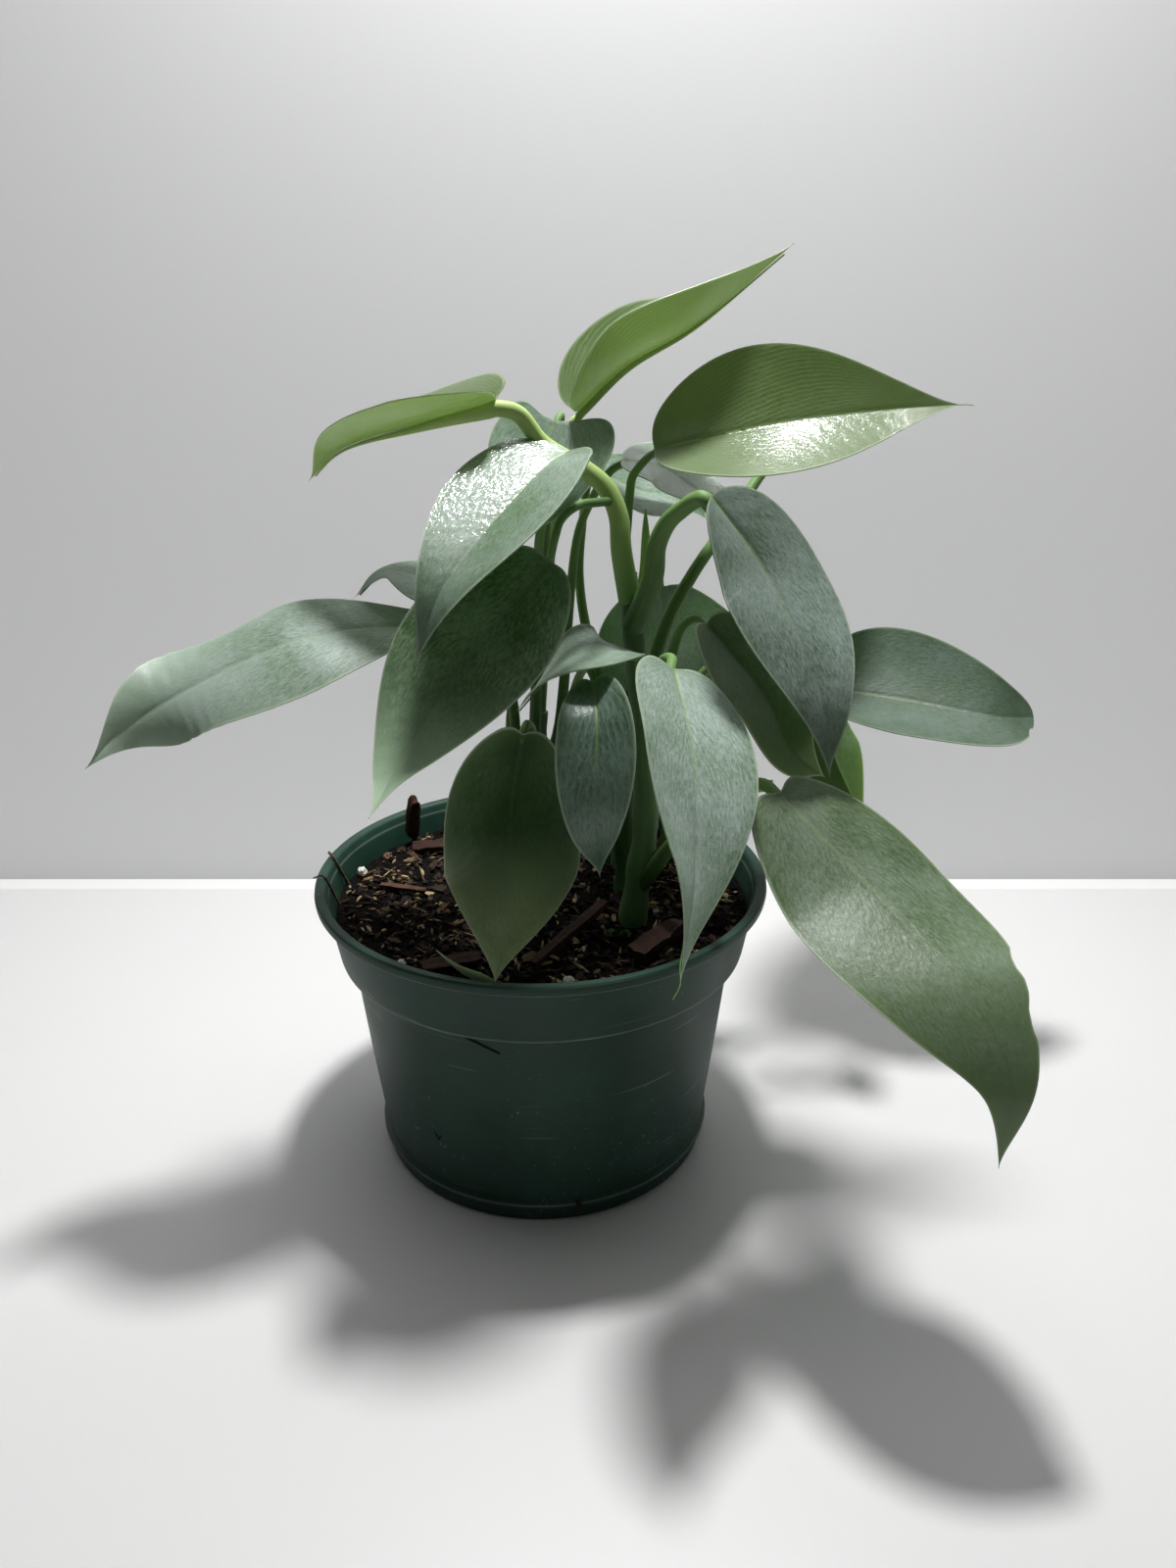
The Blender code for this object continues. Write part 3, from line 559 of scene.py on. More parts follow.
class LeafLook(Enum):
    """How a leaf's upper side looks."""
    SILVER = LeafSkin("silver_leaf_upper", "567050", "9FAEA7")
    # far left leaf: its pale edge colour, mixed in towards the tip, is painted light on the part that
    # faces away from the lamp
    TIN = LeafSkin("tin_grey_leaf_upper_painted_lit_tip", "567050", "A6B5AD", edge="B8C8B4", painted_tip_shading=1.0,
                   edge_fade=0.1)
    # right drooping leaf: its near-black edge colour, mixed in towards the tip and a little at the
    # margin, is painted shade
    LEAD = LeafSkin("lead_grey_leaf_upper_painted_shaded_tip", "4A6044", "96A59F", edge="141C12", painted_tip_shading=1.0,
                    edge_fade=0.1)
    PALE = LeafSkin("pale_silver_leaf_upper", "678262", "BAC9C3", rib="8FAE58")
    DUSK = LeafSkin("dusky_leaf_upper", "45583E", "76847E")
    SLATE = LeafSkin("slate_leaf_upper", "3E5645", "8C9F95", veil_share=0.5, coat=0.35,
                     coat_rough=0.25, vein_strength=0.35, vein_gap=0.0026)
    GLOSS = LeafSkin("glossy_leaf_upper", "4C6C42", "93A698", coat=1.0, coat_rough=0.14,
                     coat_ior=1.8, foil=0.00035, rib="B4CC80", rib_share=0.7)
    # low right leaf: its pale edge colour, mixed in towards the tip, is painted light on the lower
    # part that faces away from the lamp
    MOSS = LeafSkin("moss_leaf_upper_painted_lit_tip", "3E562A", "7E8E7A", veil_share=0.5, mottle=1.0,
                    coat=0.22, coat_rough=0.32, foil=0.0005, edge_fade=0.3, rib="8A9C70",
                    edge="7E9160", painted_tip_shading=0.9)
    # left front leaf: a dark saturated green with little silver is painted shade for the shadow over
    # most of it, and its pale edge colour, mixed in towards the tip, is painted light
    LAKE = LeafSkin("green_leaf_upper_painted_shade_lit_tip", "244A0C", "A6C09C", veil_share=0.26,
                    edge_fade=0.0, edge="B4CCB0", painted_tip_shading=1.0, coat=0.5, foil=0.0004,
                    rib_share=0.3)
    # a darker, more saturated copy of the leaf colour for leaves in shade: painted shade; its yellower
    # edge colour, mixed in towards the tip, is painted light
    DEEP = LeafSkin("painted_shade_leaf_upper", "2A481A", "6A8060", veil_share=0.3, rib="7C9468",
                    rib_share=0.4, rim_share=0.7, edge_fade=0.3, edge="7A9A48", painted_tip_shading=0.6)
    # front dark leaf: the same painted shade, with a pale edge colour mixed in towards the tip as
    # painted light
    OLIVE = LeafSkin("painted_shade_leaf_upper_lit_tip", "2A481A", "6A8060", veil_share=0.25, rib="7C9468",
                     rib_share=0.4, rim_share=0.8, edge_fade=0.2, edge="C6D69E", painted_tip_shading=1.0)
    YOUNG = LeafSkin("young_leaf_upper", "4E6828", "A4B692", veil_share=0.1, mottle=0.2,
                     edge_fade=0.0, rib="A9BE78", glow="CCE2A2", glow_share=0.36, coat=0.9,
                     coat_rough=0.15, coat_ior=1.6, foil=0.00022, vein_strength=0.3,
                     rough=0.5)


class Underside(Enum):
    """How a leaf's lower side looks."""
    GROWN = LeafUnderside("grown_leaf_underside", "789460", "90AC78")
    SHADED = LeafUnderside("shaded_leaf_underside", "3E5622", "5E7A3C")
    YOUNG = LeafUnderside("young_leaf_underside", "B0C6A0", "C2D2B4", glow="E4ECD4",
                          glow_share=0.58)


class StalkLook(Enum):
    """How a stalk looks."""
    YOUNG = StalkSkin("young_petiole", "B4CC7C", "688E44")
    GROWN = StalkSkin("grown_petiole", "668A48", "3C5E2A")
    DARK = StalkSkin("dark_petiole", "5E8250", "426434")
    # pale colours that are painted light on the folded edge of the front dark leaf, which lies in the
    # shade of the leaves above
    FOLD = StalkSkin("folded_leaf_edge_painted_light", "D6E4BC", "B4CA94")


MARGIN = LeafMargin("leaf_margin", "D2DCC6")
PERLITE = LooseBits("expanded_perlite", ("CFC9BC", "EFECE4"), rough=0.9)
PINE_BARK = LooseBits("pine_bark", ("1C120E", "38241B", "5E4534"), grain_scale=420.0)
DRY_TWIG = LooseBits("dry_twig", ("6A5846", "A8967E"))
WET_PEAT = LooseBits("wet_peat_smear", ("0C0A08", "1C1511"), rough=0.7)
CRUMB = LooseBits("brown_crumb", ("3A2C20", "6A5440"), rough=0.9)


@cache
def material_of(finish: object) -> bpy.types.Material:
    """Return the material of a finish or a named look, made when it is first asked for."""
    return (finish.value if isinstance(finish, Enum) else finish).build()


def pick(item: bpy.types.Object) -> None:
    """Select one object alone, and make it the active one.

    Args:
        item: The object.
    """
    bpy.ops.object.select_all(action="DESELECT")
    item.select_set(True)
    bpy.context.view_layer.objects.active = item


def take_new(name: str) -> bpy.types.Object:
    """Take the primitive that was just added, and name it.

    Args:
        name: The piece's name.

    Returns:
        The new object.
    """
    item = bpy.context.object
    item.name = item.data.name = name
    return item


def add_block(name: str, cuts: int) -> bpy.types.Object:
    """Add a cube of one unit.

    Args:
        name: The piece's name.
        cuts: How many times each edge is cut.

    Returns:
        The cube.
    """
    bpy.ops.object.select_all(action="DESELECT")
    bpy.ops.mesh.primitive_cube_add(size=1.0)
    item = take_new(name)
    bpy.ops.object.mode_set(mode="EDIT")
    bpy.ops.mesh.select_all(action="SELECT")
    bpy.ops.mesh.subdivide(number_cuts=cuts)
    bpy.ops.object.mode_set(mode="OBJECT")
    return item


def add_sheet(name: str, columns: int, rows: int) -> tuple[bpy.types.Object, np.ndarray]:
    """Add a flat grid that is then moved into shape.

    Args:
        name: The piece's name.
        columns: Faces across.
        rows: Faces along.

    Returns:
        The object and the place of each corner on the sheet, -1 to 1 both ways.
    """
    bpy.ops.object.select_all(action="DESELECT")
    bpy.ops.mesh.primitive_grid_add(x_subdivisions=columns, y_subdivisions=rows, size=2)
    item = take_new(name)
    return item, read_points(item.data)[:, :2]


def read_points(mesh: bpy.types.Mesh) -> np.ndarray:
    """Return a mesh's corners as rows of three numbers.

    Args:
        mesh: The mesh.

    Returns:
        The corners, in the mesh's own unit.
    """
    flat = np.empty(len(mesh.vertices) * 3)
    mesh.vertices.foreach_get("co", flat)
    return flat.reshape(-1, 3)


def write_points(mesh: bpy.types.Mesh, points: np.ndarray) -> None:
    """Move a mesh's corners to new places in millimetres."""
    mesh.vertices.foreach_set("co", (points * MM).ravel())
    mesh.update()


def write_map(mesh: bpy.types.Mesh, name: str, values: np.ndarray) -> None:
    """Give a mesh a map from a pair of numbers at each corner.

    Args:
        mesh: The mesh.
        name: The map's name.
        values: Two numbers for each vertex.
    """
    layer = mesh.uv_layers.get(name) or mesh.uv_layers.new(name=name)
    owner = np.empty(len(mesh.loops), dtype=int)
    mesh.loops.foreach_get("vertex_index", owner)
    layer.data.foreach_set("uv", values[owner].ravel())


def write_tone(mesh: bpy.types.Mesh, values: np.ndarray) -> None:
    """Give each corner of a mesh its tone, from 0 to 1."""
    layer = mesh.attributes.new("tone", "FLOAT", "POINT")
    layer.data.foreach_set("value", values)


def turn_points(points: np.ndarray, *turns: tuple) -> None:
    """Turn points about the origin.

    Args:
        points: The points, which are changed.
        *turns: For each turn the two axes that it leads into each other, and its angle.
    """
    for a, b, angle in turns:
        c, s = math.cos(angle), math.sin(angle)
        first = points[:, a] * c - points[:, b] * s
        points[:, b] = points[:, a] * s + points[:, b] * c
        points[:, a] = first


def join_seams(item: bpy.types.Object, closed: bool) -> None:
    """Merge corners that lie in one place, and turn a closed shell's faces outwards.

    Args:
        item: The object.
        closed: True if its faces are to be turned outwards.
    """
    pick(item)
    bpy.ops.object.mode_set(mode="EDIT")
    bpy.ops.mesh.select_all(action="SELECT")
    bpy.ops.mesh.remove_doubles(threshold=WELD)
    if closed:
        bpy.ops.mesh.normals_make_consistent(inside=False)
    bpy.ops.object.mode_set(mode="OBJECT")


def apply_modifier(item: bpy.types.Object, kind: str, **settings: object) -> None:
    """Add one modifier with its settings and apply it.

    Args:
        item: The object.
        kind: The modifier's type.
        **settings: Its settings.
    """
    pick(item)
    step = item.modifiers.new(kind.lower(), kind)
    for key, value in settings.items():
        setattr(step, key, value)
    bpy.ops.object.modifier_apply(modifier=step.name)


def shade(item: bpy.types.Object, *finishes: object, angle: float = 40.0) -> None:
    """Give an object its finishes and smooth its faces.

    Args:
        item: The object.
        *finishes: One for each material slot.
        angle: Edges sharper than this many degrees stay sharp.
    """
    item.data.materials.clear()
    for finish in finishes:
        item.data.materials.append(material_of(finish))
    pick(item)
    bpy.ops.object.shade_smooth_by_angle(angle=math.radians(angle))


def stand_for(item: bpy.types.Object, slot: str, *nodes: str) -> None:
    """Put a finished piece into the frame.

    Args:
        item: The piece.
        slot: A slot's name, which is not used.
        *nodes: The CAD nodes that it replaces.
    """
    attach(item, "root")
    if nodes:
        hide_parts(*nodes)


def smooth_path(points: tuple, steps: int) -> np.ndarray:
    """Lead a smooth curve through a few points.

    Args:
        points: The points.
        steps: How many pieces each stretch is cut into.

    Returns:
        The curve's points.
    """
    knots = np.asarray(points, float)
    knots = np.vstack([2 * knots[0] - knots[1], knots, 2 * knots[-1] - knots[-2]])
    path = []
    for i in range(1, len(knots) - 2):
        before, here, there, after = knots[i - 1:i + 3]
        for t in np.arange(steps) / steps:
            path.append(0.5 * (2 * here + (there - before) * t
                               + (2 * before - 5 * here + 4 * there - after) * t ** 2
                               + (3 * here - before - 3 * there + after) * t ** 3))
    path.append(knots[-2])
    return np.array(path)


def unit(rows: np.ndarray) -> np.ndarray:
    """Scale each row to length one."""
    return rows / np.linalg.norm(rows, axis=-1, keepdims=True)


def distances(path: np.ndarray) -> np.ndarray:
    """Return how far along a path each of its points lies."""
    return np.concatenate([[0.0], np.cumsum(np.linalg.norm(np.diff(path, axis=0), axis=1))])


def wrap_tube(name: str, path: np.ndarray, radii: np.ndarray, sides: int,
              outline: Callable | None = None, marks: np.ndarray | None = None) -> bpy.types.Object:
    """Wrap a sheet round a path into a closed tube.

    Args:
        name: The piece's name.
        path: The points that it follows.
        radii: Its radius at each of them.
        sides: Faces round it.
        outline: A function of angle and share of length that gives a factor on the radius.
        marks: The map's lengthwise value at each point, or nothing for shares of the length.

    Returns:
        The tube, whose map runs round it and along it.
    """
    rows = len(path) + 1
    item, spots = add_sheet(name, sides, rows)
    row = np.rint((spots[:, 1] + 1) / 2 * rows).astype(int)
    knot = np.clip(row - 1, 0, len(path) - 1)
    open_row = (row > 0) & (row < rows)
    ahead = unit(np.gradient(path, axis=0))
    side = np.empty_like(ahead)
    guide = np.cross(ahead[0], (0.31, 0.92, 0.23))
    for i, way in enumerate(ahead):
        guide = guide - way * (guide @ way)
        guide = guide / np.linalg.norm(guide)
        side[i] = guide
    other = np.cross(ahead, side)
    turn = spots[:, 0] * math.pi
    share = knot / (len(path) - 1)
    reach = radii[knot] * open_row
    if outline is not None:
        reach = reach * outline(turn, share)
    points = (path[knot] + side[knot] * (reach * np.cos(turn))[:, None]
              + other[knot] * (reach * np.sin(turn))[:, None])
    write_points(item.data, points)
    if marks is None:
        marks = np.linspace(0.0, 1.0, len(path))
    write_map(item.data, "UVMap", np.stack([0.5 + 0.5 * spots[:, 0], marks[knot]], -1))
    join_seams(item, True)
    return item


@dataclass
class Leaf:
    """One leaf: a thin blade on its midrib, and the petiole that carries it to a stem.

    face is where the upper side looks at the base and face_tip where it looks at the tip.
    fold is the rise of each half in degrees, curl how much more a half bends towards its
    margin, lobe how far the base runs back past the petiole, as a share of the length,
    and peak where along the blade it is widest. sharp draws the tip in, wave and crinkle
    raise and lower the margin and the surface, thread is the length of a hair-fine tip, and
    each nick is a side of the margin with its place, depth and length. groove is the depth
    and half the width of the midrib's groove, and rib_end the radius of the rib under the
    blade where it ends. pucker_gaps and lump_sizes are lengths along and across the blade.
    """
    name: str
    midrib: tuple
    width: float
    face: tuple
    face_tip: tuple
    petiole: tuple
    thick: tuple = (1.4, 2.4)
    fold: float = 5.0
    curl: float = 0.0
    lobe: float = 0.10
    peak: float = 0.39
    sharp: float = 0.35
    wave: float = 0.0
    look: LeafLook = LeafLook.SILVER
    under: Underside = Underside.GROWN
    stalk: StalkLook = StalkLook.GROWN
    crinkle: float = 0.03
    slot: str = "leaf"
    thickness: float = 0.45
    thread: float = 0.0
    nicks: tuple = ()
    groove: tuple = (0.35, 0.9)
    pucker_gaps: tuple = (6.5, 3.7)
    lump_sizes: tuple = (9.0, 14.0)
    rib_end: float = 0.28
    columns: int = 44
    rows: int = 88
    sides: int = 16

    def along_midrib(self, along: np.ndarray) -> tuple[np.ndarray, np.ndarray, np.ndarray]:
        """Follow the midrib.

        Args:
            along: Shares of its length.

        Returns:
            The place there, the direction of the midrib and that of the upper side.
        """
        path = smooth_path(self.midrib, MIDRIB_STEPS)
        run = distances(path)
        length = run[-1]
        reach = along * length
        inside = np.clip(reach, 0.0, length)

        def on_path(distance: np.ndarray) -> np.ndarray:
            """Return the points at distances along the path."""
            return np.stack([np.interp(distance, run, path[:, k]) for k in range(3)], -1)

        # the direction is that from a hundredth of the length behind to one ahead
        nudge = 0.01 * length
        ahead = unit(on_path(np.clip(inside + nudge, 0, length))
                     - on_path(np.clip(inside - nudge, 0, length)))
        place = on_path(inside) + ahead * (reach - inside)[..., None]
        share = np.clip(along, 0.0, 1.0)[..., None]
        up = (1 - share) * np.asarray(self.face) + share * np.asarray(self.face_tip)
        up = unit(up - (up * ahead).sum(-1, keepdims=True) * ahead)
        return place, ahead, up

    def half_width(self, along: np.ndarray) -> np.ndarray:
        """Return half the blade's width at shares of its length, in millimetres."""
        swell = math.log(0.5) / math.log(self.peak)
        return 0.5 * self.width * np.sin(np.pi * along ** swell) ** (1 + self.sharp * along)

    def surface(self, along: np.ndarray, across: np.ndarray) -> np.ndarray:
        """Lay out the blade's middle surface.

        Args:
            along: 0 at the base to 1 at the tip.
            across: -1 at one margin to 1 at the other.

        Returns:
            Points in millimetres.
        """
        # the lobes reach back soon after the base and less and less towards the tip
        back = (1 - along) ** 2 * (1 - np.exp(-along / 0.06))
        start = along - self.lobe * back * np.abs(across) ** 1.5
        place, ahead, up = self.along_midrib(start)
        sideways = np.cross(up, ahead)
        out = np.abs(across) * self.half_width(along)
        for side, place_along, depth, reach in self.nicks:
            bite = depth * np.exp(-((along - place_along) / reach) ** 4)
            out = out * (1 - bite * (np.sign(across) == side))
        bend = 0.5 * math.radians(self.curl) * out ** 2 / (0.5 * self.width)
        slope = math.radians(self.fold)
        level = out * math.cos(slope) - bend * math.sin(slope)
        rise = out * math.sin(slope) + bend * math.cos(slope)
        rise = rise + (self.wave * across ** 2 * np.sin(3 * np.pi * along + np.sign(across))
                       * np.sin(np.pi * along))
        return place + sideways * (np.sign(across) * level)[..., None] + up * rise[..., None]

    def relief(self, along: np.ndarray, across: np.ndarray, length: float) -> np.ndarray:
        """Return the fine relief on the blade: the midrib's groove and the vein puckers.

        Args:
            along: 0 at the base to 1 at the tip.
            across: -1 to 1.
            length: The blade's length in millimetres.

        Returns:
            Heights in millimetres.
        """
        out = across * self.half_width(along)
        start = along * length - 0.8 * np.abs(out)
        depth, half = self.groove
        groove = -depth * np.exp(-(out / half) ** 2) * np.sqrt(np.clip(1 - along, 0, 1))
        # puckers and lumps fade over 4 mm at the midrib and the last sixth at the margin
        fade = np.clip(np.abs(out) / 4, 0, 1) * np.clip((1 - np.abs(across)) * 6, 0, 1)
        seed = sum(map(ord, self.name)) % 97
        wide, narrow = self.pucker_gaps
        pucker = np.sin(math.tau * start / wide + seed) + 0.6 * np.sin(math.tau * start / narrow)
        # the two halves look up the noise 10 units apart, so that they differ
        long, broad = self.lump_sizes
        lumps = np.array([noise.noise(Vector((a, b, seed))) for a, b in
                          zip(start / long, np.abs(out) / broad + 5.0 * np.sign(out))])
        return groove + self.crinkle * fade * (pucker + 3.0 * lumps)

    def blade(self) -> bpy.types.Object:
        """Make the blade.

        Returns:
            A closed thin shell with its upper side, underside and margin in three slots.
        """
        item, spots = add_sheet(f"{self.name}_blade", self.columns, self.rows)
        # the rows lie closer together at the base and at the tip
        t = 0.5 + 0.5 * spots[:, 1]
        along = 0.65 * t + 0.35 * (0.5 - 0.5 * np.cos(np.pi * t))
        across = -spots[:, 0]
        middle = np.clip(along, 1e-6, 1 - 1e-6)
        points = self.surface(middle, across)
        # the blade's own upward direction, from places a step apart
        step = 0.004
        low, high = np.clip(along - step, 1e-6, 1), np.clip(along + step, 0, 1 - 1e-6)
        lengthwise = self.surface(high, across) - self.surface(low, across)
        crosswise = self.surface(middle, across + step) - self.surface(middle, across - step)
        upward = np.cross(crosswise, lengthwise)
        size = np.linalg.norm(upward, axis=-1, keepdims=True)
        upward = upward / np.maximum(size, 1e-9)
        upward *= np.sign((upward * self.along_midrib(middle)[2]).sum(-1, keepdims=True))
        length = distances(smooth_path(self.midrib, MIDRIB_STEPS))[-1]
        ends = np.clip(np.minimum(along, 1 - along) * 30, 0, 1) * (size[:, 0] > 1e-6)
        points = points + upward * (self.relief(middle, across, length) * ends)[:, None]
        write_points(item.data, points)
        out = across * self.half_width(middle)
        # a side vein moves out by 0.22 mm for each millimetre that it runs along
        sweep = 0.5 * self.width * np.abs(across) - 0.22 * along * length
        edge = (1 - np.abs(across)) * self.half_width(middle)
        write_map(item.data, "blade", np.stack([0.5 + 0.5 * across, along], -1))
        write_map(item.data, "veins", np.stack([sweep, along * length], -1) * MM)
        write_map(item.data, "reach", np.stack([out, edge], -1) * MM)
        join_seams(item, False)
        apply_modifier(item, "SOLIDIFY", thickness=self.thickness * MM, offset=0.0,
                       use_even_offset=True, material_offset=1, material_offset_rim=2,
                       thickness_clamp=1.0)
        shade(item, self.look, self.under, MARGIN, angle=50)
        return item

    def petiole_piece(self) -> bpy.types.Object:
        """Make the petiole, with the raised midrib that goes on under the blade.

        Returns:
            A closed tapered tube, sunk into the blade and into what carries it.
        """
        thin, thick = self.thick
        # the rib starts just behind the tip and hangs below the blade by 0.95 of its radius
        shares = np.linspace(0.95, 0.0, 16)
        under, _, up = self.along_midrib(shares)
        rib = self.rib_end + (thin - self.rib_end) * (1 - shares) ** 1.4
        under = under - up * (self.thickness + rib * 0.95)[:, None]
        hair = self.rib_end
        if self.thread:
            # the thread goes on from the tip, bent a little down and half as thick
            tip, ahead, tip_up = self.along_midrib(np.array([1.0]))
            under = np.vstack([tip + (ahead - 0.35 * tip_up) * self.thread, tip, under])
            hair = 0.5 * self.rib_end
        stalk = np.asarray(self.petiole, float)
        path = smooth_path(np.vstack([under, stalk]), PETIOLE_STEPS)
        run = distances(path)
        joint = run[PETIOLE_STEPS * (len(under) - 1)]
        share = np.clip((run - joint) / (run[-1] - joint), 0, 1)
        radii = thin + (thick - thin) * share ** 1.3
        radii = np.where(run < joint, hair + (thin - hair) * (run / joint) ** 1.6, radii)
        item = wrap_tube(f"{self.name}_stalk", path, radii, self.sides, marks=share)
        shade(item, self.stalk, angle=60)
        return item

    def build(self) -> None:
        """Make the leaf and put it into the frame in place of its CAD node."""
        stand_for(self.blade(), self.slot, self.name)
        stand_for(self.petiole_piece(), "stem", self.name)


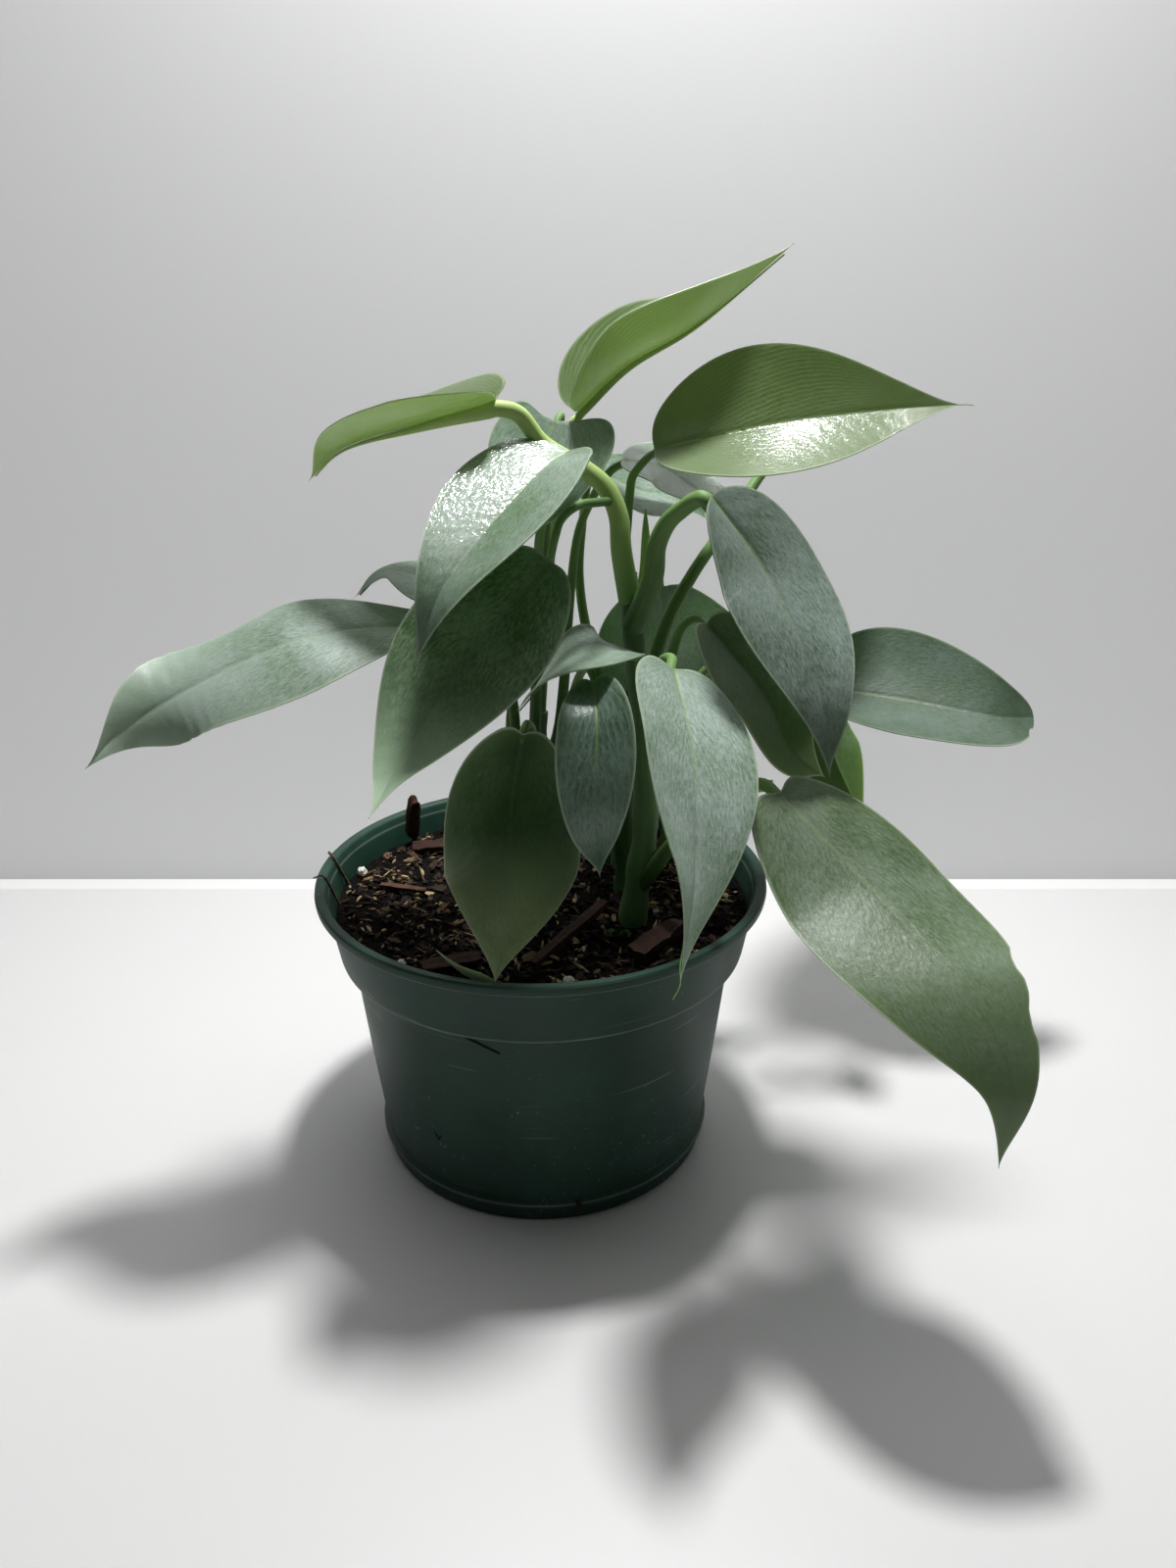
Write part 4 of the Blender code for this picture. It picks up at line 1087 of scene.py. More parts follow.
LEAVES = (
    Leaf("leaf_top",
         ((13, 20, 269), (30, 23, 284), (53, 23, 297), (84, 27, 321)), 44,
         (-0.54, -0.19, 0.82), (-0.54, 0.22, 0.82),
         ((11, 20, 263), (8, 24, 243), (4, 28, 222), (2, 30, 193), (0, 29, 172), (-1, 27, 159),
          (-2, 21, 147)),
         fold=28, curl=29, peak=0.34, look=LeafLook.YOUNG, under=Underside.YOUNG,
         stalk=StalkLook.YOUNG, slot="young_leaf"),
    Leaf("leaf_right_top",
         ((39, 10, 258), (82, 7, 267), (114, 5, 271), (137, 1, 273)), 54,
         (0.06, -0.59, 0.81), (0.28, -0.85, 0.44),
         ((36, 7, 255), (32, 6, 250), (31, 5, 245), (30, 4, 233), (29, 2, 222), (30, -4, 211)),
         thick=(1.3, 2.1), fold=14, curl=12, lobe=0.07, peak=0.37, look=LeafLook.YOUNG, thread=3.5,
         under=Underside.YOUNG, slot="young_leaf"),
    Leaf("leaf_left_top",
         ((-11, -16, 276), (-37, -4, 268), (-62, 1, 260), (-76, 9, 248)), 40,
         (0.0, -0.21, 0.98), (-0.04, 0.28, 0.96),
         ((-4, -13, 271), (2, -11, 263), (9, -9, 258), (16, -8, 254), (23, -8, 248), (27, -9, 239),
          (28, -10, 228), (31, -6, 211)),
         thick=(2.6, 3.8), fold=33, curl=-20, lobe=0.14, look=LeafLook.YOUNG,
         under=Underside.YOUNG, stalk=StalkLook.YOUNG, slot="young_leaf"),
    Leaf("leaf_left_gloss",
         ((11, -18, 261), (1, -30, 255), (-23, -60, 230), (-33, -67, 207)), 42,
         (-0.21, -0.32, 0.92), (-0.34, -0.91, 0.24),
         ((8, -16, 254), (4, -10, 243), (1, -5, 230), (0, 1, 208), (-1, 7, 182), (-2, 12, 163),
          (-3, 20, 144)),
         fold=16, curl=-5, lobe=0.08, peak=0.33, look=LeafLook.GLOSS),
    Leaf("leaf_crown",
         ((6, 12, 267), (-1, 5, 252), (-8, 4, 235), (-10, 4, 220)), 47,
         (-0.25, -0.57, 0.78), (-0.36, -0.89, 0.27),
         ((8, 17, 268), (7, 21, 262), (4, 22, 246), (2, 22, 225), (0, 22, 188), (-1, 21, 156)),
         fold=-7, lobe=0.28, peak=0.26),
    Leaf("leaf_left_front",
         ((5, -34, 230), (-21, -53, 202), (-38, -68, 178), (-46, -85, 166)), 47,
         (0.08, -0.80, 0.58), (-0.47, -0.64, 0.61),
         ((7, -33, 237), (9, -29, 242), (14, -23, 245), (20, -17, 245), (25, -8, 244)),
         thick=(1.3, 1.5), fold=9, curl=2, lobe=0.09, peak=0.40, look=LeafLook.LAKE),
    Leaf("leaf_far_left",
         ((-34, -12, 205), (-76, -31, 204), (-124, -41, 182), (-138, -56, 170)), 46,
         (0.24, -0.21, 0.95), (0.93, 0.10, 0.36),
         ((-29, -3, 204), (-18, 6, 198), (-12, 12, 184), (-10, 16, 166), (-9, 18, 150),
          (-4, 21, 128)),
         fold=10, curl=-34, lobe=0.12, peak=0.50, wave=1.2, look=LeafLook.TIN),
    Leaf("leaf_left_small",
         ((-14, -1, 220), (-31, -3, 217), (-50, -2, 220), (-61, -8, 212)), 28,
         (-0.20, -0.45, 0.87), (-0.30, 0.04, 0.96),
         ((-11, 7, 215), (-9, 17, 200), (-10, 24, 174), (-12, 27, 150), (-6, 22, 117)),
         thick=(1.2, 2.2), fold=0, curl=-9),
    Leaf("leaf_front_dark",
         ((-4, -32, 173), (-8, -40, 150), (-8, -57, 132), (-12, -76, 106)), 53,
         (0.0, -1.0, 0.05), (0.09, -1.0, 0.12),
         ((-3, -25, 174), (-2, -12, 166), (-5, 2, 149), (-6, 11, 132), (-7, 22, 110)),
         fold=-20, curl=-28, lobe=0.13, peak=0.45, look=LeafLook.OLIVE),
    Leaf("leaf_front_small",
         ((19, -33, 191), (20, -48, 180), (19, -56, 153), (21, -48, 129)), 27,
         (-0.20, -0.96, 0.18), (0.15, -0.94, 0.30),
         ((18, -28, 193), (16, -18, 191), (13, -4, 181), (9, 8, 160), (4, 15, 142), (-5, 21, 121)),
         thick=(1.3, 2.3), fold=18, curl=12, lobe=0.13, peak=0.41, look=LeafLook.SLATE),
    Leaf("leaf_front_light",
         ((43, -52, 201), (47, -85, 183), (46, -110, 160), (41, -133, 140)), 44,
         (0.49, -0.77, 0.41), (0.31, -0.81, -0.51),
         ((43, -42, 201), (41, -33, 198), (39, -22, 189), (36, -12, 172)),
         thick=(1.6, 2.6), fold=7, curl=7, lobe=0.11, peak=0.36, look=LeafLook.PALE,
         thread=4.0),
    Leaf("leaf_arched",
         ((33, -16, 196), (23, -22, 198), (8, -22, 194), (-8, -15, 174)), 35,
         (-0.30, -0.18, 0.94), (0.04, -0.11, 0.99),
         ((34, -14, 193), (35, -11, 183)),
         thick=(1.4, 2.0), fold=0, curl=18, lobe=0.03, peak=0.38),
    Leaf("leaf_right_droop",
         ((54, -37, 250), (72, -38, 226), (87, -56, 194), (91, -60, 169)), 46,
         (0.81, -0.56, 0.17), (0.17, -0.80, 0.58),
         ((50, -31, 248), (46, -25, 244), (42, -20, 239), (39, -17, 231), (38, -15, 220),
          (32, -8, 202)),
         thick=(2.5, 4.1), fold=12, curl=-18, lobe=0.06, peak=0.38, look=LeafLook.LEAD),
    Leaf("leaf_right_green",
         ((58, 6, 200), (77, -6, 179), (86, -15, 162), (100, -10, 149)), 44,
         (0.58, -0.57, 0.58), (0.49, -0.82, 0.31),
         ((54, 5, 202), (49, 3, 199), (46, -2, 192), (43, -8, 182), (36, -12, 167)),
         thick=(1.5, 2.4), fold=16, curl=-6, lobe=0.13, peak=0.41, look=LeafLook.DEEP),
    Leaf("leaf_right_under",
         ((93, 35, 186), (104, 33, 167), (110, 27, 144), (123, 19, 118)), 44,
         (-0.45, 0.75, 0.49), (-0.21, 0.84, 0.51),
         ((85, 35, 188), (71, 33, 183), (54, 30, 168), (31, 27, 132)),
         fold=32, curl=18, peak=0.40, look=LeafLook.DEEP, under=Underside.SHADED),
    Leaf("leaf_far_right",
         ((113, 79, 154), (148, 70, 151), (179, 60, 148), (198, 63, 146)), 58,
         (0.14, -0.50, 0.86), (0.21, -0.77, 0.60),
         ((102, 76, 158), (86, 64, 157), (68, 50, 151), (50, 37, 138), (31, 26, 116)),
         fold=11, curl=29, lobe=0.13, peak=0.36, sharp=-0.45, look=LeafLook.DUSK,
         nicks=((-1, 0.955, 0.22, 0.016),)),
    Leaf("leaf_low_right",
         ((75, -67, 167), (98, -88, 147), (117, -122, 133), (129, -136, 112), (128, -140, 87)), 54,
         (0.51, -0.72, 0.48), (0.07, -0.92, 0.38),
         ((70, -58, 166), (61, -48, 158), (50, -36, 141), (42, -26, 125), (34, -19, 108)),
         thick=(1.9, 3.0), fold=-3, curl=-14, lobe=0.13, look=LeafLook.MOSS,
         nicks=((1, 0.62, 0.07, 0.03), (1, 0.73, 0.10, 0.03))),
    Leaf("leaf_back_upper",
         ((29, 24, 253), (43, 23, 250), (56, 18, 243), (72, 14, 241)), 33,
         (0.14, -0.32, 0.94), (0.13, -0.27, 0.95),
         ((24, 25, 248), (18, 28, 238), (13, 30, 224), (10, 29, 197), (8, 26, 170), (5, 24, 150),
          (-4, 21, 129)),
         fold=6, look=LeafLook.GLOSS),
    Leaf("leaf_back_lower",
         ((20, 36, 248), (36, 40, 240), (52, 43, 237), (61, 42, 229)), 34,
         (0.13, -0.40, 0.91), (0.14, -0.52, 0.84),
         ((17, 37, 243), (15, 37, 228), (14, 37, 208), (18, 35, 184), (31, 28, 142)),
         fold=8),
    Leaf("leaf_back_centre",
         ((44, 44, 204), (48, 53, 179), (55, 60, 155), (58, 67, 128)), 58,
         (-0.15, -0.70, 0.70), (0.09, -0.70, 0.70),
         ((43, 41, 207), (38, 37, 198), (35, 33, 182), (33, 30, 162)),
         thick=(1.5, 2.4), fold=0, curl=-6, peak=0.42),
    Leaf("leaf_behind",
         ((89, 62, 249), (101, 92, 256), (113, 122, 256), (124, 150, 245)), 46,
         (0.0, -0.20, 1.0), (0.10, 0.20, 0.95),
         ((82, 52, 246), (74, 43, 237), (64, 34, 225), (54, 26, 212), (45, 18, 197), (39, 8, 177),
          (37, -14, 152)),
         thick=(1.9, 2.9), fold=10),
)


@dataclass
class Shoot:
    """One shoot out of the soil: a jointed stem, swollen where each leaf leaves it.

    bottom and top are its radii, and swelling how much it swells, as a share of them.
    """
    name: str
    route: tuple
    bottom: float
    top: float
    joints: int
    swelling: float = 0.07

    def build(self) -> None:
        """Make the stem and put it into the frame in place of its CAD node."""
        path = smooth_path(self.route, 10)
        along = np.linspace(0.0, 1.0, len(path))
        radii = self.bottom + (self.top - self.bottom) * along
        radii = radii * (1.0 + self.swelling * np.cos(math.tau * self.joints * along))
        item = wrap_tube(f"{self.name}_skin", path, radii, 24)
        shade(item, StalkLook.DARK, angle=60)
        stand_for(item, "stem", self.name)


SHOOTS = (
    Shoot("stem_main", ((32, -20, 68), (33, -20, 98), (35, -19, 115), (37, -17, 131), (37, -14, 148),
                        (36, -12, 169), (34, -10, 186), (32, -8, 202), (30, -5, 220)), 5.2, 3.2, 7),
    Shoot("stem_left", ((-9, 22, 68), (-8, 22, 98), (-5, 21, 122), (-2, 20, 144), (-1, 21, 163)),
          5.0, 3.2, 5),
    Shoot("stem_back", ((30, 25, 68), (30, 25, 98), (31, 27, 130), (33, 30, 166)), 4.8, 3.6, 4),
)


@dataclass
class RolledLeaf:
    """The new leaf, still rolled, beside the top of the main stem.

    step is how far its free edge stands out, as a share of the radius, and turns how often
    that edge winds round it.
    """
    route: tuple = ((32, -5, 206), (36, -3, 219), (36, -2, 241))
    radius: float = 2.1
    step: float = 0.14
    turns: float = 0.9

    def build(self) -> None:
        """Make the rolled leaf with the free edge that winds up it."""
        path = smooth_path(self.route, 14)
        along = np.linspace(0.0, 1.0, len(path))
        radii = self.radius * (1.02 - along ** 5)

        def rolled(turn: np.ndarray, share: np.ndarray) -> np.ndarray:
            """Return the factor on the radius that leaves a step where the edge lies."""
            phase = np.mod(turn / math.tau + self.turns * share, 1.0)
            return 1.0 - self.step + self.step * phase

        item = wrap_tube("rolled_leaf", path, radii, 28, rolled)
        shade(item, StalkLook.YOUNG, angle=50)
        stand_for(item, "young_leaf", "new_leaf_spike")


@dataclass
class Sprig:
    """A small part of the plant or its mix that is one tapered, flattened rod.

    widths are half-widths, evenly spread over its length, and flat is its thickness as a
    share of its width.
    """
    name: str
    route: tuple
    widths: tuple
    finish: object
    slot: str
    flat: float = 1.0

    def build(self) -> None:
        """Make the rod and put it into the frame."""
        path = smooth_path(self.route, 8)
        along = np.linspace(0.0, 1.0, len(path))
        radii = np.interp(along, np.linspace(0.0, 1.0, len(self.widths)), self.widths)

        def pressed(turn: np.ndarray, share: np.ndarray) -> np.ndarray:
            """Return the factor on the radius that makes the rod's section an ellipse."""
            return 1.0 / np.hypot(np.cos(turn), np.sin(turn) / self.flat)

        item = wrap_tube(self.name, path, radii, 14, pressed)
        shade(item, self.finish, angle=60)
        stand_for(item, self.slot)


SPRIGS = (
    Sprig("side_shoot", ((31, 5, 94), (30, 5, 106), (27, 4, 123)), (5.2, 0.7),
          StalkLook.DARK, "stem", 0.5),
    Sprig("stem_sheath", ((41, -18, 120), (43, -22, 128), (44, -25, 143)), (2.6, 0.8),
          StalkLook.GROWN, "stem", 0.4),
    Sprig("cut_petiole", ((63, -49, 160), (68, -52, 162.4), (75, -53, 163.4)), (2.2, 1.8),
          StalkLook.YOUNG, "stem"),
    Sprig("seedling_left", ((28, -31, 96), (27, -32, 99), (25, -34, 101.5)), (0.5, 1.6),
          StalkLook.GROWN, "young_leaf", 0.5),
    Sprig("seedling_right", ((28, -31, 96), (29, -32, 99), (31, -34, 101)), (0.5, 1.5),
          StalkLook.GROWN, "young_leaf", 0.5),
    # the folded edge of the front dark leaf, its pale colours painted light
    Sprig("folded_edge", ((-31.2, -66.5, 112.4), (-24.0, -71.2, 108.9), (-16.0, -75.2, 107.2),
                          (-11.6, -76.4, 106.2)), (0.15, 0.7, 1.3, 1.9, 2.2, 1.7, 0.5),
          StalkLook.FOLD, "leaf", 0.2),
)


@dataclass
class Pot:
    """The moulded nursery pot: foot ring, tapered wall, collar and turned-out lip."""
    height: float = 108.0
    rim: float = 82.5
    wall: float = 1.7
    foot: float = 61.8
    ring: float = 7.4
    collar_height: float = 82.8
    collar: float = 75.2
    lip_depth: float = 3.6
    lip_width: float = 3.2
    holes: int = 6
    hole_radius: float = 5.0
    hole_circle: float = 46.0
    sides: int = 160

    def profile(self) -> tuple[list, list]:
        """Draw the outline, each point a radius and a height.

        Returns:
            The outside, bottom to top, and the inside, top to bottom.
        """
        rim, top, foot, ring = self.rim, self.height, self.foot, self.ring
        neck, step, lip = self.collar - 4.8, self.collar_height, top - self.lip_depth
        outside = [(foot - 1.2, 0), (foot - 0.4, 0.25), (foot, 1.0), (foot, ring - 2.2),
                   (foot + 0.5, ring - 1.7), (foot + 1.5, ring - 1.2), (foot + 1.8, ring - 0.6),
                   (foot + 1.8, ring + 0.4), (foot + 1.4, ring + 1.1), (foot + 0.4, ring + 2.0),
                   (neck - 4.4, step - 42.0), (neck - 0.3, step - 4.5), (neck, step - 1.8),
                   (neck + 0.9, step - 1.0), (self.collar - 1.4, step - 0.4),
                   (self.collar - 0.4, step), (self.collar, step + 1.4),
                   (rim - 3.9, lip - 1.2), (rim - 2.6, lip - 0.6),
                   (rim - 0.9, lip - 0.1), (rim - 0.2, lip + 0.6),
                   (rim, top - 1.8), (rim - 0.2, top - 0.6), (rim - 0.8, top)]
        inner = rim - self.lip_width
        wall = self.wall
        inside = [(inner + 0.3, top), (inner - 0.5, top - 0.4), (inner - 0.9, top - 1.1),
                  (rim - 3.9 - wall, lip - 2.0),
                  (self.collar - wall, step + 2.2), (neck - wall, step - 0.4),
                  (foot - 0.4 - wall, ring + 2.0), (foot - 2.2, wall + 0.6), (foot - 3.4, wall)]
        return outside, inside

    def build(self) -> None:
        """Turn the pot, drill its drain holes and put it in place of its CAD node."""
        outside, inside = self.profile()
        item = lathe("nursery_pot", outside + inside, self.sides)
        for i in range(self.holes):
            turn = math.tau * (i + 0.5) / self.holes
            bpy.ops.object.select_all(action="DESELECT")
            bpy.ops.mesh.primitive_cylinder_add(
                vertices=24, radius=self.hole_radius * MM, depth=4 * self.wall * MM,
                location=(self.hole_circle * MM * math.cos(turn),
                          self.hole_circle * MM * math.sin(turn), 0.5 * self.wall * MM))
            drill = take_new("drill")
            apply_modifier(item, "BOOLEAN", operation="DIFFERENCE", solver="EXACT",
                           object=drill)
            bpy.data.objects.remove(drill, do_unlink=True)
        shade(item, MouldedPolypropylene(), angle=35)
        stand_for(item, "pot", "pot")


def lathe(name: str, profile: list, sides: int) -> bpy.types.Object:
    """Raise a circle step by step into a closed round solid.

    Args:
        name: The piece's name.
        profile: Radius and height of each ring in millimetres, the first and last capped.
        sides: Faces round it.

    Returns:
        The solid.
    """
    (radius, height), *rest = profile
    bpy.ops.object.select_all(action="DESELECT")
    bpy.ops.mesh.primitive_circle_add(vertices=sides, radius=radius * MM, fill_type="NGON",
                                      location=(0, 0, 0))
    item = take_new(name)
    bpy.ops.object.mode_set(mode="EDIT")
    bpy.ops.mesh.select_all(action="SELECT")
    bpy.ops.transform.translate(value=(0, 0, height * MM))
    for next_radius, next_height in rest:
        bpy.ops.mesh.extrude_region_move(
            TRANSFORM_OT_translate={"value": (0, 0, (next_height - height) * MM)})
        scale = next_radius / radius
        bpy.ops.transform.resize(value=(scale, scale, 1), center_override=(0, 0, 0))
        radius, height = next_radius, next_height
    bpy.ops.mesh.select_all(action="SELECT")
    bpy.ops.mesh.normals_make_consistent(inside=False)
    bpy.ops.object.mode_set(mode="OBJECT")
    return item


@dataclass
class Soil:
    """The potting mix: a plug that fills the pot, its top rough in waves and in grains."""
    level: float = 97.5
    lumps: float = 1.6
    grains: float = 0.35
    edge: float = 75.2
    rings: int = 44
    sides: int = 150
    clearance: float = 0.3

    def relief(self, x: np.ndarray, y: np.ndarray) -> np.ndarray:
        """Return the surface's height over its mean level, in millimetres.

        Args:
            x: Places across.
            y: Places from front to back.

        Returns:
            Heights.
        """
        # swells one to four centimetres long, and grains of three to seven millimetres
        wide = (np.sin(0.17 * x + 0.6) * np.cos(0.14 * y - 0.4)
                + 0.6 * np.sin(0.31 * x - 0.23 * y + 1.9) + 0.4 * np.cos(0.43 * y + 0.29 * x))
        fine = (np.sin(0.9 * x + 0.5 * y) * np.cos(0.8 * y - 0.3 * x + 1.0)
                + 0.6 * np.sin(1.7 * x - 1.3 * y + 0.4) * np.sin(1.4 * y + 0.9 * x))
        return self.lumps * wide / 2.0 + self.grains * fine

    def build(self, pot: Pot) -> None:
        """Make the plug and put it into the frame in place of its CAD node.

        Args:
            pot: The pot that it fills.
        """
        inside = pot.profile()[1]
        side = [(r - 2 * self.clearance, z + 0.5 * self.clearance) for r, z in inside[4:8]]
        floor = (side[-1][0] - 1.0, pot.wall + self.clearance)
        top = [(self.edge * (i + 0.4) / self.rings, self.level) for i in range(self.rings)]
        item = lathe("potting_mix", [floor] + side[::-1] + [(self.edge, self.level)]
                     + top[::-1], self.sides)
        points = read_points(item.data) / MM
        high = points[:, 2] > self.level - 0.01
        points[high, 2] += self.relief(points[high, 0], points[high, 1])
        write_points(item.data, points)
        shade(item, PottingMix(), angle=80)
        stand_for(item, "soil", "soil")


class Bit(Enum):
    """The form of a loose bit on the soil."""
    GRAIN = "grain"
    CHIP = "chip"
    SHRED = "shred"


@dataclass
class Litter:
    """The loose bits on the soil: shreds, chips, crumbs and perlite, each kind one piece.

    reach is how far from the middle they lie, shake how much a bit's corners differ from
    its pattern's, and stems the places that stay clear, with their radii.
    """
    soil: Soil
    seed: int = 11
    reach: float = 73.0
    shake: float = 0.22
    stems: tuple = ((33, -20, 6.5), (-8, 22, 6.5), (30, 25, 6.0))

    def pattern(self, kind: Bit) -> tuple[np.ndarray, list]:
        """Model one bit, to be copied.

        Args:
            kind: Its form.

        Returns:
            Its corners, about one unit across, and its faces.
        """
        if kind is Bit.GRAIN:
            bpy.ops.object.select_all(action="DESELECT")
            bpy.ops.mesh.primitive_ico_sphere_add(subdivisions=1, radius=0.5)
            item = take_new("bit")
        else:
            item = add_block("bit", 1)
        points = read_points(item.data)
        if kind is Bit.SHRED:
            points[:, 1:] *= (1.0 - 0.75 * np.abs(2 * points[:, :1]) ** 1.5)
        elif kind is Bit.CHIP:
            points[:, :2] *= (1.0 - 0.25 * np.abs(2 * points[:, 1::-1]))
        faces = [tuple(face.vertices) for face in item.data.polygons]
        bpy.data.objects.remove(item, do_unlink=True)
        return points, faces

    def scatter(self, name: str, kind: Bit, count: int, sizes: tuple, finish: LooseBits,
                slot: str, lean: float, lift: float) -> None:
        """Strew copies of one bit over the soil as one piece.

        Args:
            name: The piece's name.
            kind: The form that is copied.
            count: How many.
            sizes: Lowest and highest length, width and height in millimetres.
            finish: Their finish.
            slot: A slot's name, which is not used.
            lean: How far a bit may lean out of level, in degrees.
            lift: How far its middle stands over the soil, as a share of its height.
        """
        draw = np.random.default_rng(self.seed + count)
        base, faces = self.pattern(kind)
        corners, tiles, tones = [], [], []
        made = 0
        while made < count:
            far, turn = self.reach * math.sqrt(draw.uniform()), draw.uniform(0, math.tau)
            x, y = far * math.cos(turn), far * math.sin(turn)
            low, high = np.array(sizes, float)
            size = low + (high - low) * draw.uniform(size=3) ** 2
            spin, tip, roll = draw.uniform(0, math.tau), *np.radians(
                draw.uniform(-lean, lean, 2))
            shake = 1 + draw.uniform(-self.shake, self.shake, (len(base), 3))
            tone = draw.uniform()
            if any(math.hypot(x - a, y - b) < r for a, b, r in self.stems):
                continue
            place = np.array([x, y, self.soil.level + float(self.soil.relief(x, y))
                              + lift * size[2]])
            bit = base * shake * size
            turn_points(bit, (1, 2, roll), (0, 2, tip), (0, 1, spin))
            tiles += [tuple(v + len(base) * made for v in face) for face in faces]
            corners.append(bit + place)
            tones.append(np.full(len(base), tone))
            made += 1
        mesh = bpy.data.meshes.new(name)
        mesh.from_pydata(np.vstack(corners) * MM, [], tiles)
        write_tone(mesh, np.concatenate(tones))
        item = bpy.data.objects.new(name, mesh)
        bpy.context.scene.collection.objects.link(item)
        shade(item, finish, angle=35)
        stand_for(item, slot)

    def build(self) -> None:
        """Strew every kind of bit."""
        bark = LooseBits("composted_bark", ("100C0A", "221914", "3A2C22", "6E5843"))
        fibre = LooseBits("wood_fibre", ("1A120D", "3C2C20", "7A6446", "BCA67C"), rough=0.7)
        peat = LooseBits("peat_crumbs", ("0C0A08", "1C1511", "2C211A"), rough=0.9)
        self.scatter("peat_crumbs", Bit.GRAIN, 1500, ((1.2, 1.2, 0.9), (4.0, 3.2, 2.6)), peat,
                     "soil", 60, 0.25)
        self.scatter("bark_chips", Bit.CHIP, 460, ((1.8, 1.3, 0.6), (7.0, 4.5, 2.0)), bark,
                     "bark", 30, 0.3)
        self.scatter("fibre_chips", Bit.CHIP, 240, ((1.5, 1.0, 0.4), (5.5, 3.2, 1.0)), fibre,
                     "bark", 30, 0.7)
        self.scatter("wood_shreds", Bit.SHRED, 800, ((1.5, 0.5, 0.4), (9.0, 1.7, 1.1)), fibre,
                     "bark", 22, 0.8)
        self.scatter("perlite_crumbs", Bit.GRAIN, 26, ((1.0, 1.0, 0.9), (2.6, 2.4, 2.0)), PERLITE,
                     "perlite", 40, 0.5)


@dataclass
class BarkPiece:
    """A broken piece of pine bark or twig, cleft along its grain.

    turn and lean are in degrees, and tone runs from the bark's darkest colour, 0, to its
    lightest, 1.
    """
    node: str
    size: tuple
    turn: float
    lean: float
    tone: float

    def build(self) -> None:
        """Model the piece where its CAD node lies, and put it in its place."""
        low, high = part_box(self.node)
        middle = (low + high) / 2
        item = add_block(f"{self.node}_piece", 7)
        points = read_points(item.data)
        size = np.array(self.size, float)
        seed = sum(map(ord, self.node)) % 53
        # thinner than its box, and more so at the ends
        points[:, 1:] *= 0.86 - 0.18 * np.abs(points[:, :1] * 2) ** 4
        points = points * size
        # a grain twenty millimetres long and two wide, over lumps of four
        for i, p in enumerate(points):
            grain = noise.noise(Vector((p[0] * 0.05 + seed, p[1] * 0.55, p[2] * 0.55)))
            lump = noise.noise(Vector((p[0] * 0.22, p[1] * 0.3 + seed, p[2] * 0.3)))
            points[i, 1] += 0.10 * size[1] * (lump + 0.8 * grain)
            points[i, 2] += 0.16 * size[2] * (grain + 0.5 * lump)
            points[i, 0] += 0.10 * size[1] * noise.noise(Vector((seed, p[1] * 0.8, p[2] * 0.8)))
        turn_points(points, (1, 2, math.radians(self.lean)), (0, 1, math.radians(self.turn)))
        write_points(item.data, points + np.array(middle) / MM)
        write_tone(item.data, np.full(len(points), self.tone))
        shade(item, PINE_BARK, angle=30)
        stand_for(item, "bark", self.node)


BARK = (
    BarkPiece("bark_stick_long", (50, 4.5, 3.2), 61, 0, 0.55),
    BarkPiece("bark_chunk", (27, 9.0, 6.0), 54, 0, 0.35),
    BarkPiece("bark_stick_short", (13, 3.2, 2.4), 12, 0, 0.6),
    BarkPiece("bark_flake", (20, 8.0, 2.2), 20, 0, 0.5),
    BarkPiece("bark_plate", (15, 10.0, 2.6), 8, 0, 0.5),
    BarkPiece("bark_stub", (5, 4.0, 19.0), 35, 12, 0.6),
    BarkPiece("bark_twig", (18, 2.6, 2.2), -14, 0, 0.8),
)


TWIGS = (
    Sprig("wall_slit", ((-23.4, -66.6, 80.0), (-17.6, -67.9, 77.5), (-11.8, -68.9, 74.9)),
          (0.55, 0.4), WET_PEAT, "pot", 0.5),
    Sprig("wall_smear_left", ((-37.0, -53.3, 31.8), (-36.3, -53.7, 30.6), (-35.6, -54.1, 29.4)),
          (0.4, 0.3), WET_PEAT, "pot", 0.5),
    Sprig("wall_smear_right", ((-34.6, -54.9, 31.4), (-35.0, -54.5, 30.3), (-35.5, -54.1, 29.0)),
          (0.3, 0.4), WET_PEAT, "pot", 0.5),
    Sprig("foot_crumb", ((13.4, -62.0, 8.6), (13.9, -62.4, 7.6), (14.2, -62.2, 6.6)),
          (1.0, 0.8), CRUMB, "soil", 0.8),
    Sprig("rim_twig_front", ((-74, -7, 97.0), (-78.8, -7, 108.6), (-82.5, -9, 109.4)),
          (0.6, 0.4), DRY_TWIG, "bark", 0.7),
    Sprig("rim_twig_back", ((-73, 8, 97.0), (-78.5, 9, 108.6), (-81.0, 12, 109.8)),
          (0.8, 0.6), DRY_TWIG, "bark", 0.6),
)


@dataclass
class PerliteGrain:
    """One white grain of expanded perlite, lumpy like popcorn."""
    node: str
    tone: float = 0.8

    def build(self) -> None:
        """Model the grain where its CAD node lies, and put it in its place."""
        low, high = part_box(self.node)
        middle, size = (low + high) / 2, (high - low)
        bpy.ops.object.select_all(action="DESELECT")
        bpy.ops.mesh.primitive_ico_sphere_add(subdivisions=4, radius=0.5)
        item = take_new(f"{self.node}_grain")
        points = read_points(item.data)
        seed = float(self.node[-1]) * 3.7
        swell = np.array([0.9 + 0.3 * noise.noise(Vector(p) * 5 + Vector((seed, 0, 0)))
                          for p in points])
        points = points * swell[:, None] * (np.array(size) / MM) + np.array(middle) / MM
        write_points(item.data, points)
        write_tone(item.data, np.full(len(points), self.tone))
        shade(item, PERLITE, angle=60)
        stand_for(item, "perlite", self.node)


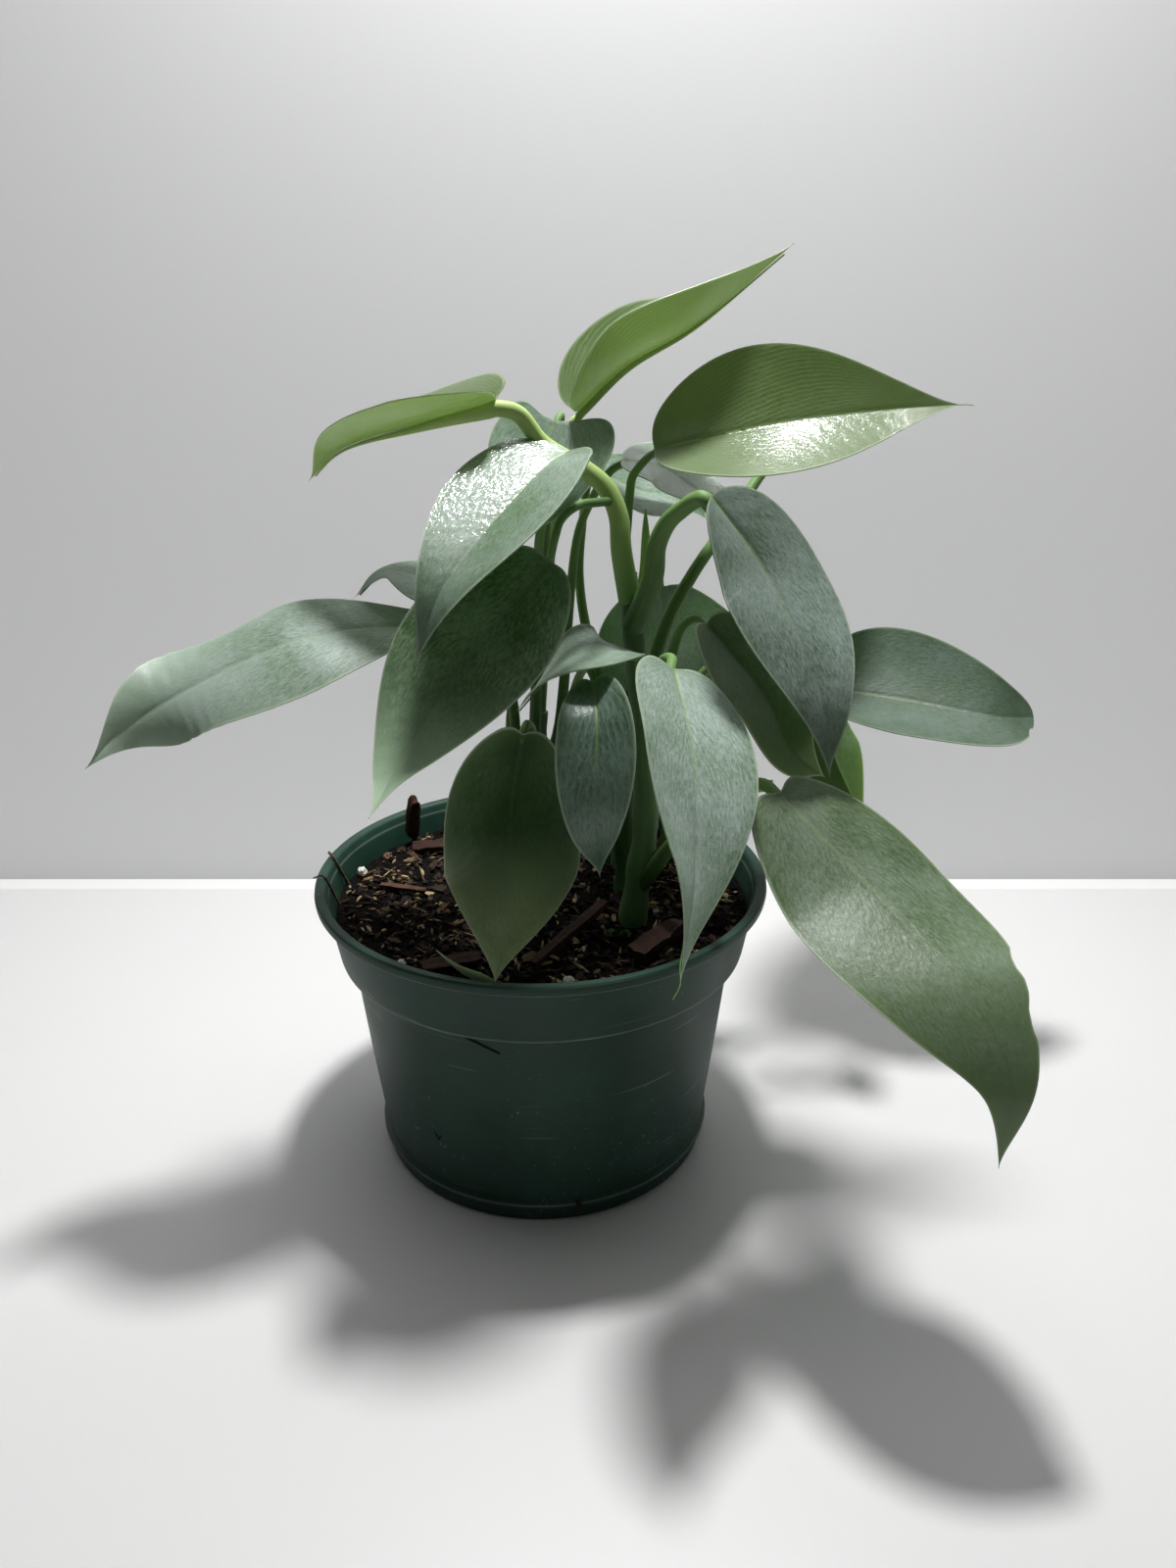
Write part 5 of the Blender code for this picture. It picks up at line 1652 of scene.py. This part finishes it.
@dataclass
class Studio:
    """The plain room round the plant: a pale floor and wall, the lamps and the camera.

    The wall stands across the back, the ceiling light hangs high over the front and the
    wall light lies close before the wall.
    """
    wall_at: float = 210.0
    wall_size: tuple = (2600.0, 1600.0)
    wall_middle: float = 799.0
    floor_size: tuple = (2600.0, 3200.0, 20.0)
    floor_forward: float = 100.0
    floor_edge: float = 1.0
    lens: float = 28.125
    nearest_view: float = 10.0
    camera_place: tuple = (17.1, -407.9, 307.3)
    camera_pitch: float = 22.0
    lamp_place: tuple = (45.0, 90.0, 805.0)
    lamp_size: float = 90.0
    lamp_power: float = 5.7
    ceiling_place: tuple = (0.0, -100.0, 1700.0)
    ceiling_size: float = 1200.0
    ceiling_power: float = 3.9
    wash_gap: float = 12.0
    wash_height: float = 700.0
    wash_size: float = 2400.0
    wash_power: float = 5.1
    daylight: str = "F4F6F8"
    ambient: float = 0.04

    def place(self, name: str, data: object, spot: tuple, tilt: float) -> bpy.types.Object:
        """Put a lamp or a camera into the scene.

        Args:
            name: Its name.
            data: The lamp or the camera.
            spot: Its place in millimetres.
            tilt: How far it is raised from looking straight down, in degrees.

        Returns:
            Its object.
        """
        item = bpy.data.objects.new(name, data)
        item.location = [c * MM for c in spot]
        item.rotation_euler = (math.radians(tilt), 0, 0)
        bpy.context.scene.collection.objects.link(item)
        return item

    def add_lamp(self, name: str, spot: tuple, size: float, power: float,
                 tilt: float = 0.0) -> None:
        """Hang one round lamp, which the camera doesn't see.

        Args:
            name: Its name.
            spot: Its middle.
            size: Its diameter.
            power: Its power in watts.
            tilt: How far it is raised from shining straight down, in degrees.
        """
        lamp = bpy.data.lights.new(name, "AREA")
        lamp.shape = "DISK"
        lamp.size = size * MM
        lamp.energy = power
        self.place(name, lamp, spot, tilt).visible_camera = False

    def add_wall(self) -> None:
        """Add the wall, a sheet that hides nothing from a camera behind it."""
        bpy.ops.object.select_all(action="DESELECT")
        bpy.ops.mesh.primitive_plane_add(size=1.0)
        item = take_new("wall")
        flat = read_points(item.data)
        width, height = self.wall_size
        write_points(item.data, np.stack([width * flat[:, 0], np.full(len(flat), self.wall_at),
                                          self.wall_middle + height * flat[:, 1]], -1))
        shade(item, MattPaint("grey_wall_paint", "C6C6C7", 0.5, clear_behind=True))

    def add_floor(self) -> None:
        """Add the floor, a bevelled board with its top at the pot's foot."""
        bpy.ops.object.select_all(action="DESELECT")
        bpy.ops.mesh.primitive_cube_add(size=1.0)
        item = take_new("floor")
        middle = (0.0, self.wall_at - self.floor_forward, -0.5 * self.floor_size[2])
        write_points(item.data, read_points(item.data) * np.array(self.floor_size)
                     + np.array(middle))
        apply_modifier(item, "BEVEL", width=self.floor_edge * MM, segments=2)
        shade(item, MattPaint("white_painted_board", "E8E8E7", 0.45))

    def build(self) -> None:
        """Make the room, light it and set the camera."""
        self.add_floor()
        self.add_wall()
        self.add_lamp("desk_lamp", self.lamp_place, self.lamp_size, self.lamp_power)
        self.add_lamp("ceiling_light", self.ceiling_place, self.ceiling_size,
                      self.ceiling_power)
        self.add_lamp("wall_light", (0.0, self.wall_at - self.wash_gap, self.wash_height),
                      self.wash_size, self.wash_power, 90.0)
        world = bpy.data.worlds.new("room_light")
        bpy.context.scene.world = world
        world.use_nodes = True
        sky = world.node_tree.nodes["Background"].inputs
        sky[0].default_value, sky[1].default_value = srgb(self.daylight), self.ambient
        camera = bpy.data.cameras.new("camera")
        camera.lens = self.lens
        camera.clip_start = self.nearest_view * MM
        bpy.context.scene.camera = self.place("camera", camera, self.camera_place,
                                              90.0 - self.camera_pitch)
        bpy.context.scene.view_settings.view_transform = "Standard"


def main() -> None:
    """Build the room and the plant, piece by piece."""
    logging.basicConfig(level=logging.INFO, format="%(name)s: %(message)s")
    Studio().build()
    LOG.info("room ready")
    pot = Pot()
    pot.build()
    LOG.info("pot turned")
    soil = Soil()
    soil.build(pot)
    Litter(soil).build()
    for piece in BARK:
        piece.build()
    for number in range(1, 6):
        PerliteGrain(f"perlite_{number}").build()
    for twig in TWIGS:
        twig.build()
    LOG.info("soil filled")
    for shoot in SHOOTS:
        shoot.build()
    for leaf in LEAVES:
        leaf.build()
        LOG.info("%s grown", leaf.name)
    for sprig in SPRIGS:
        sprig.build()
    RolledLeaf().build()
    LOG.info("rolled leaf grown")


if __name__ == "__main__":
    main()
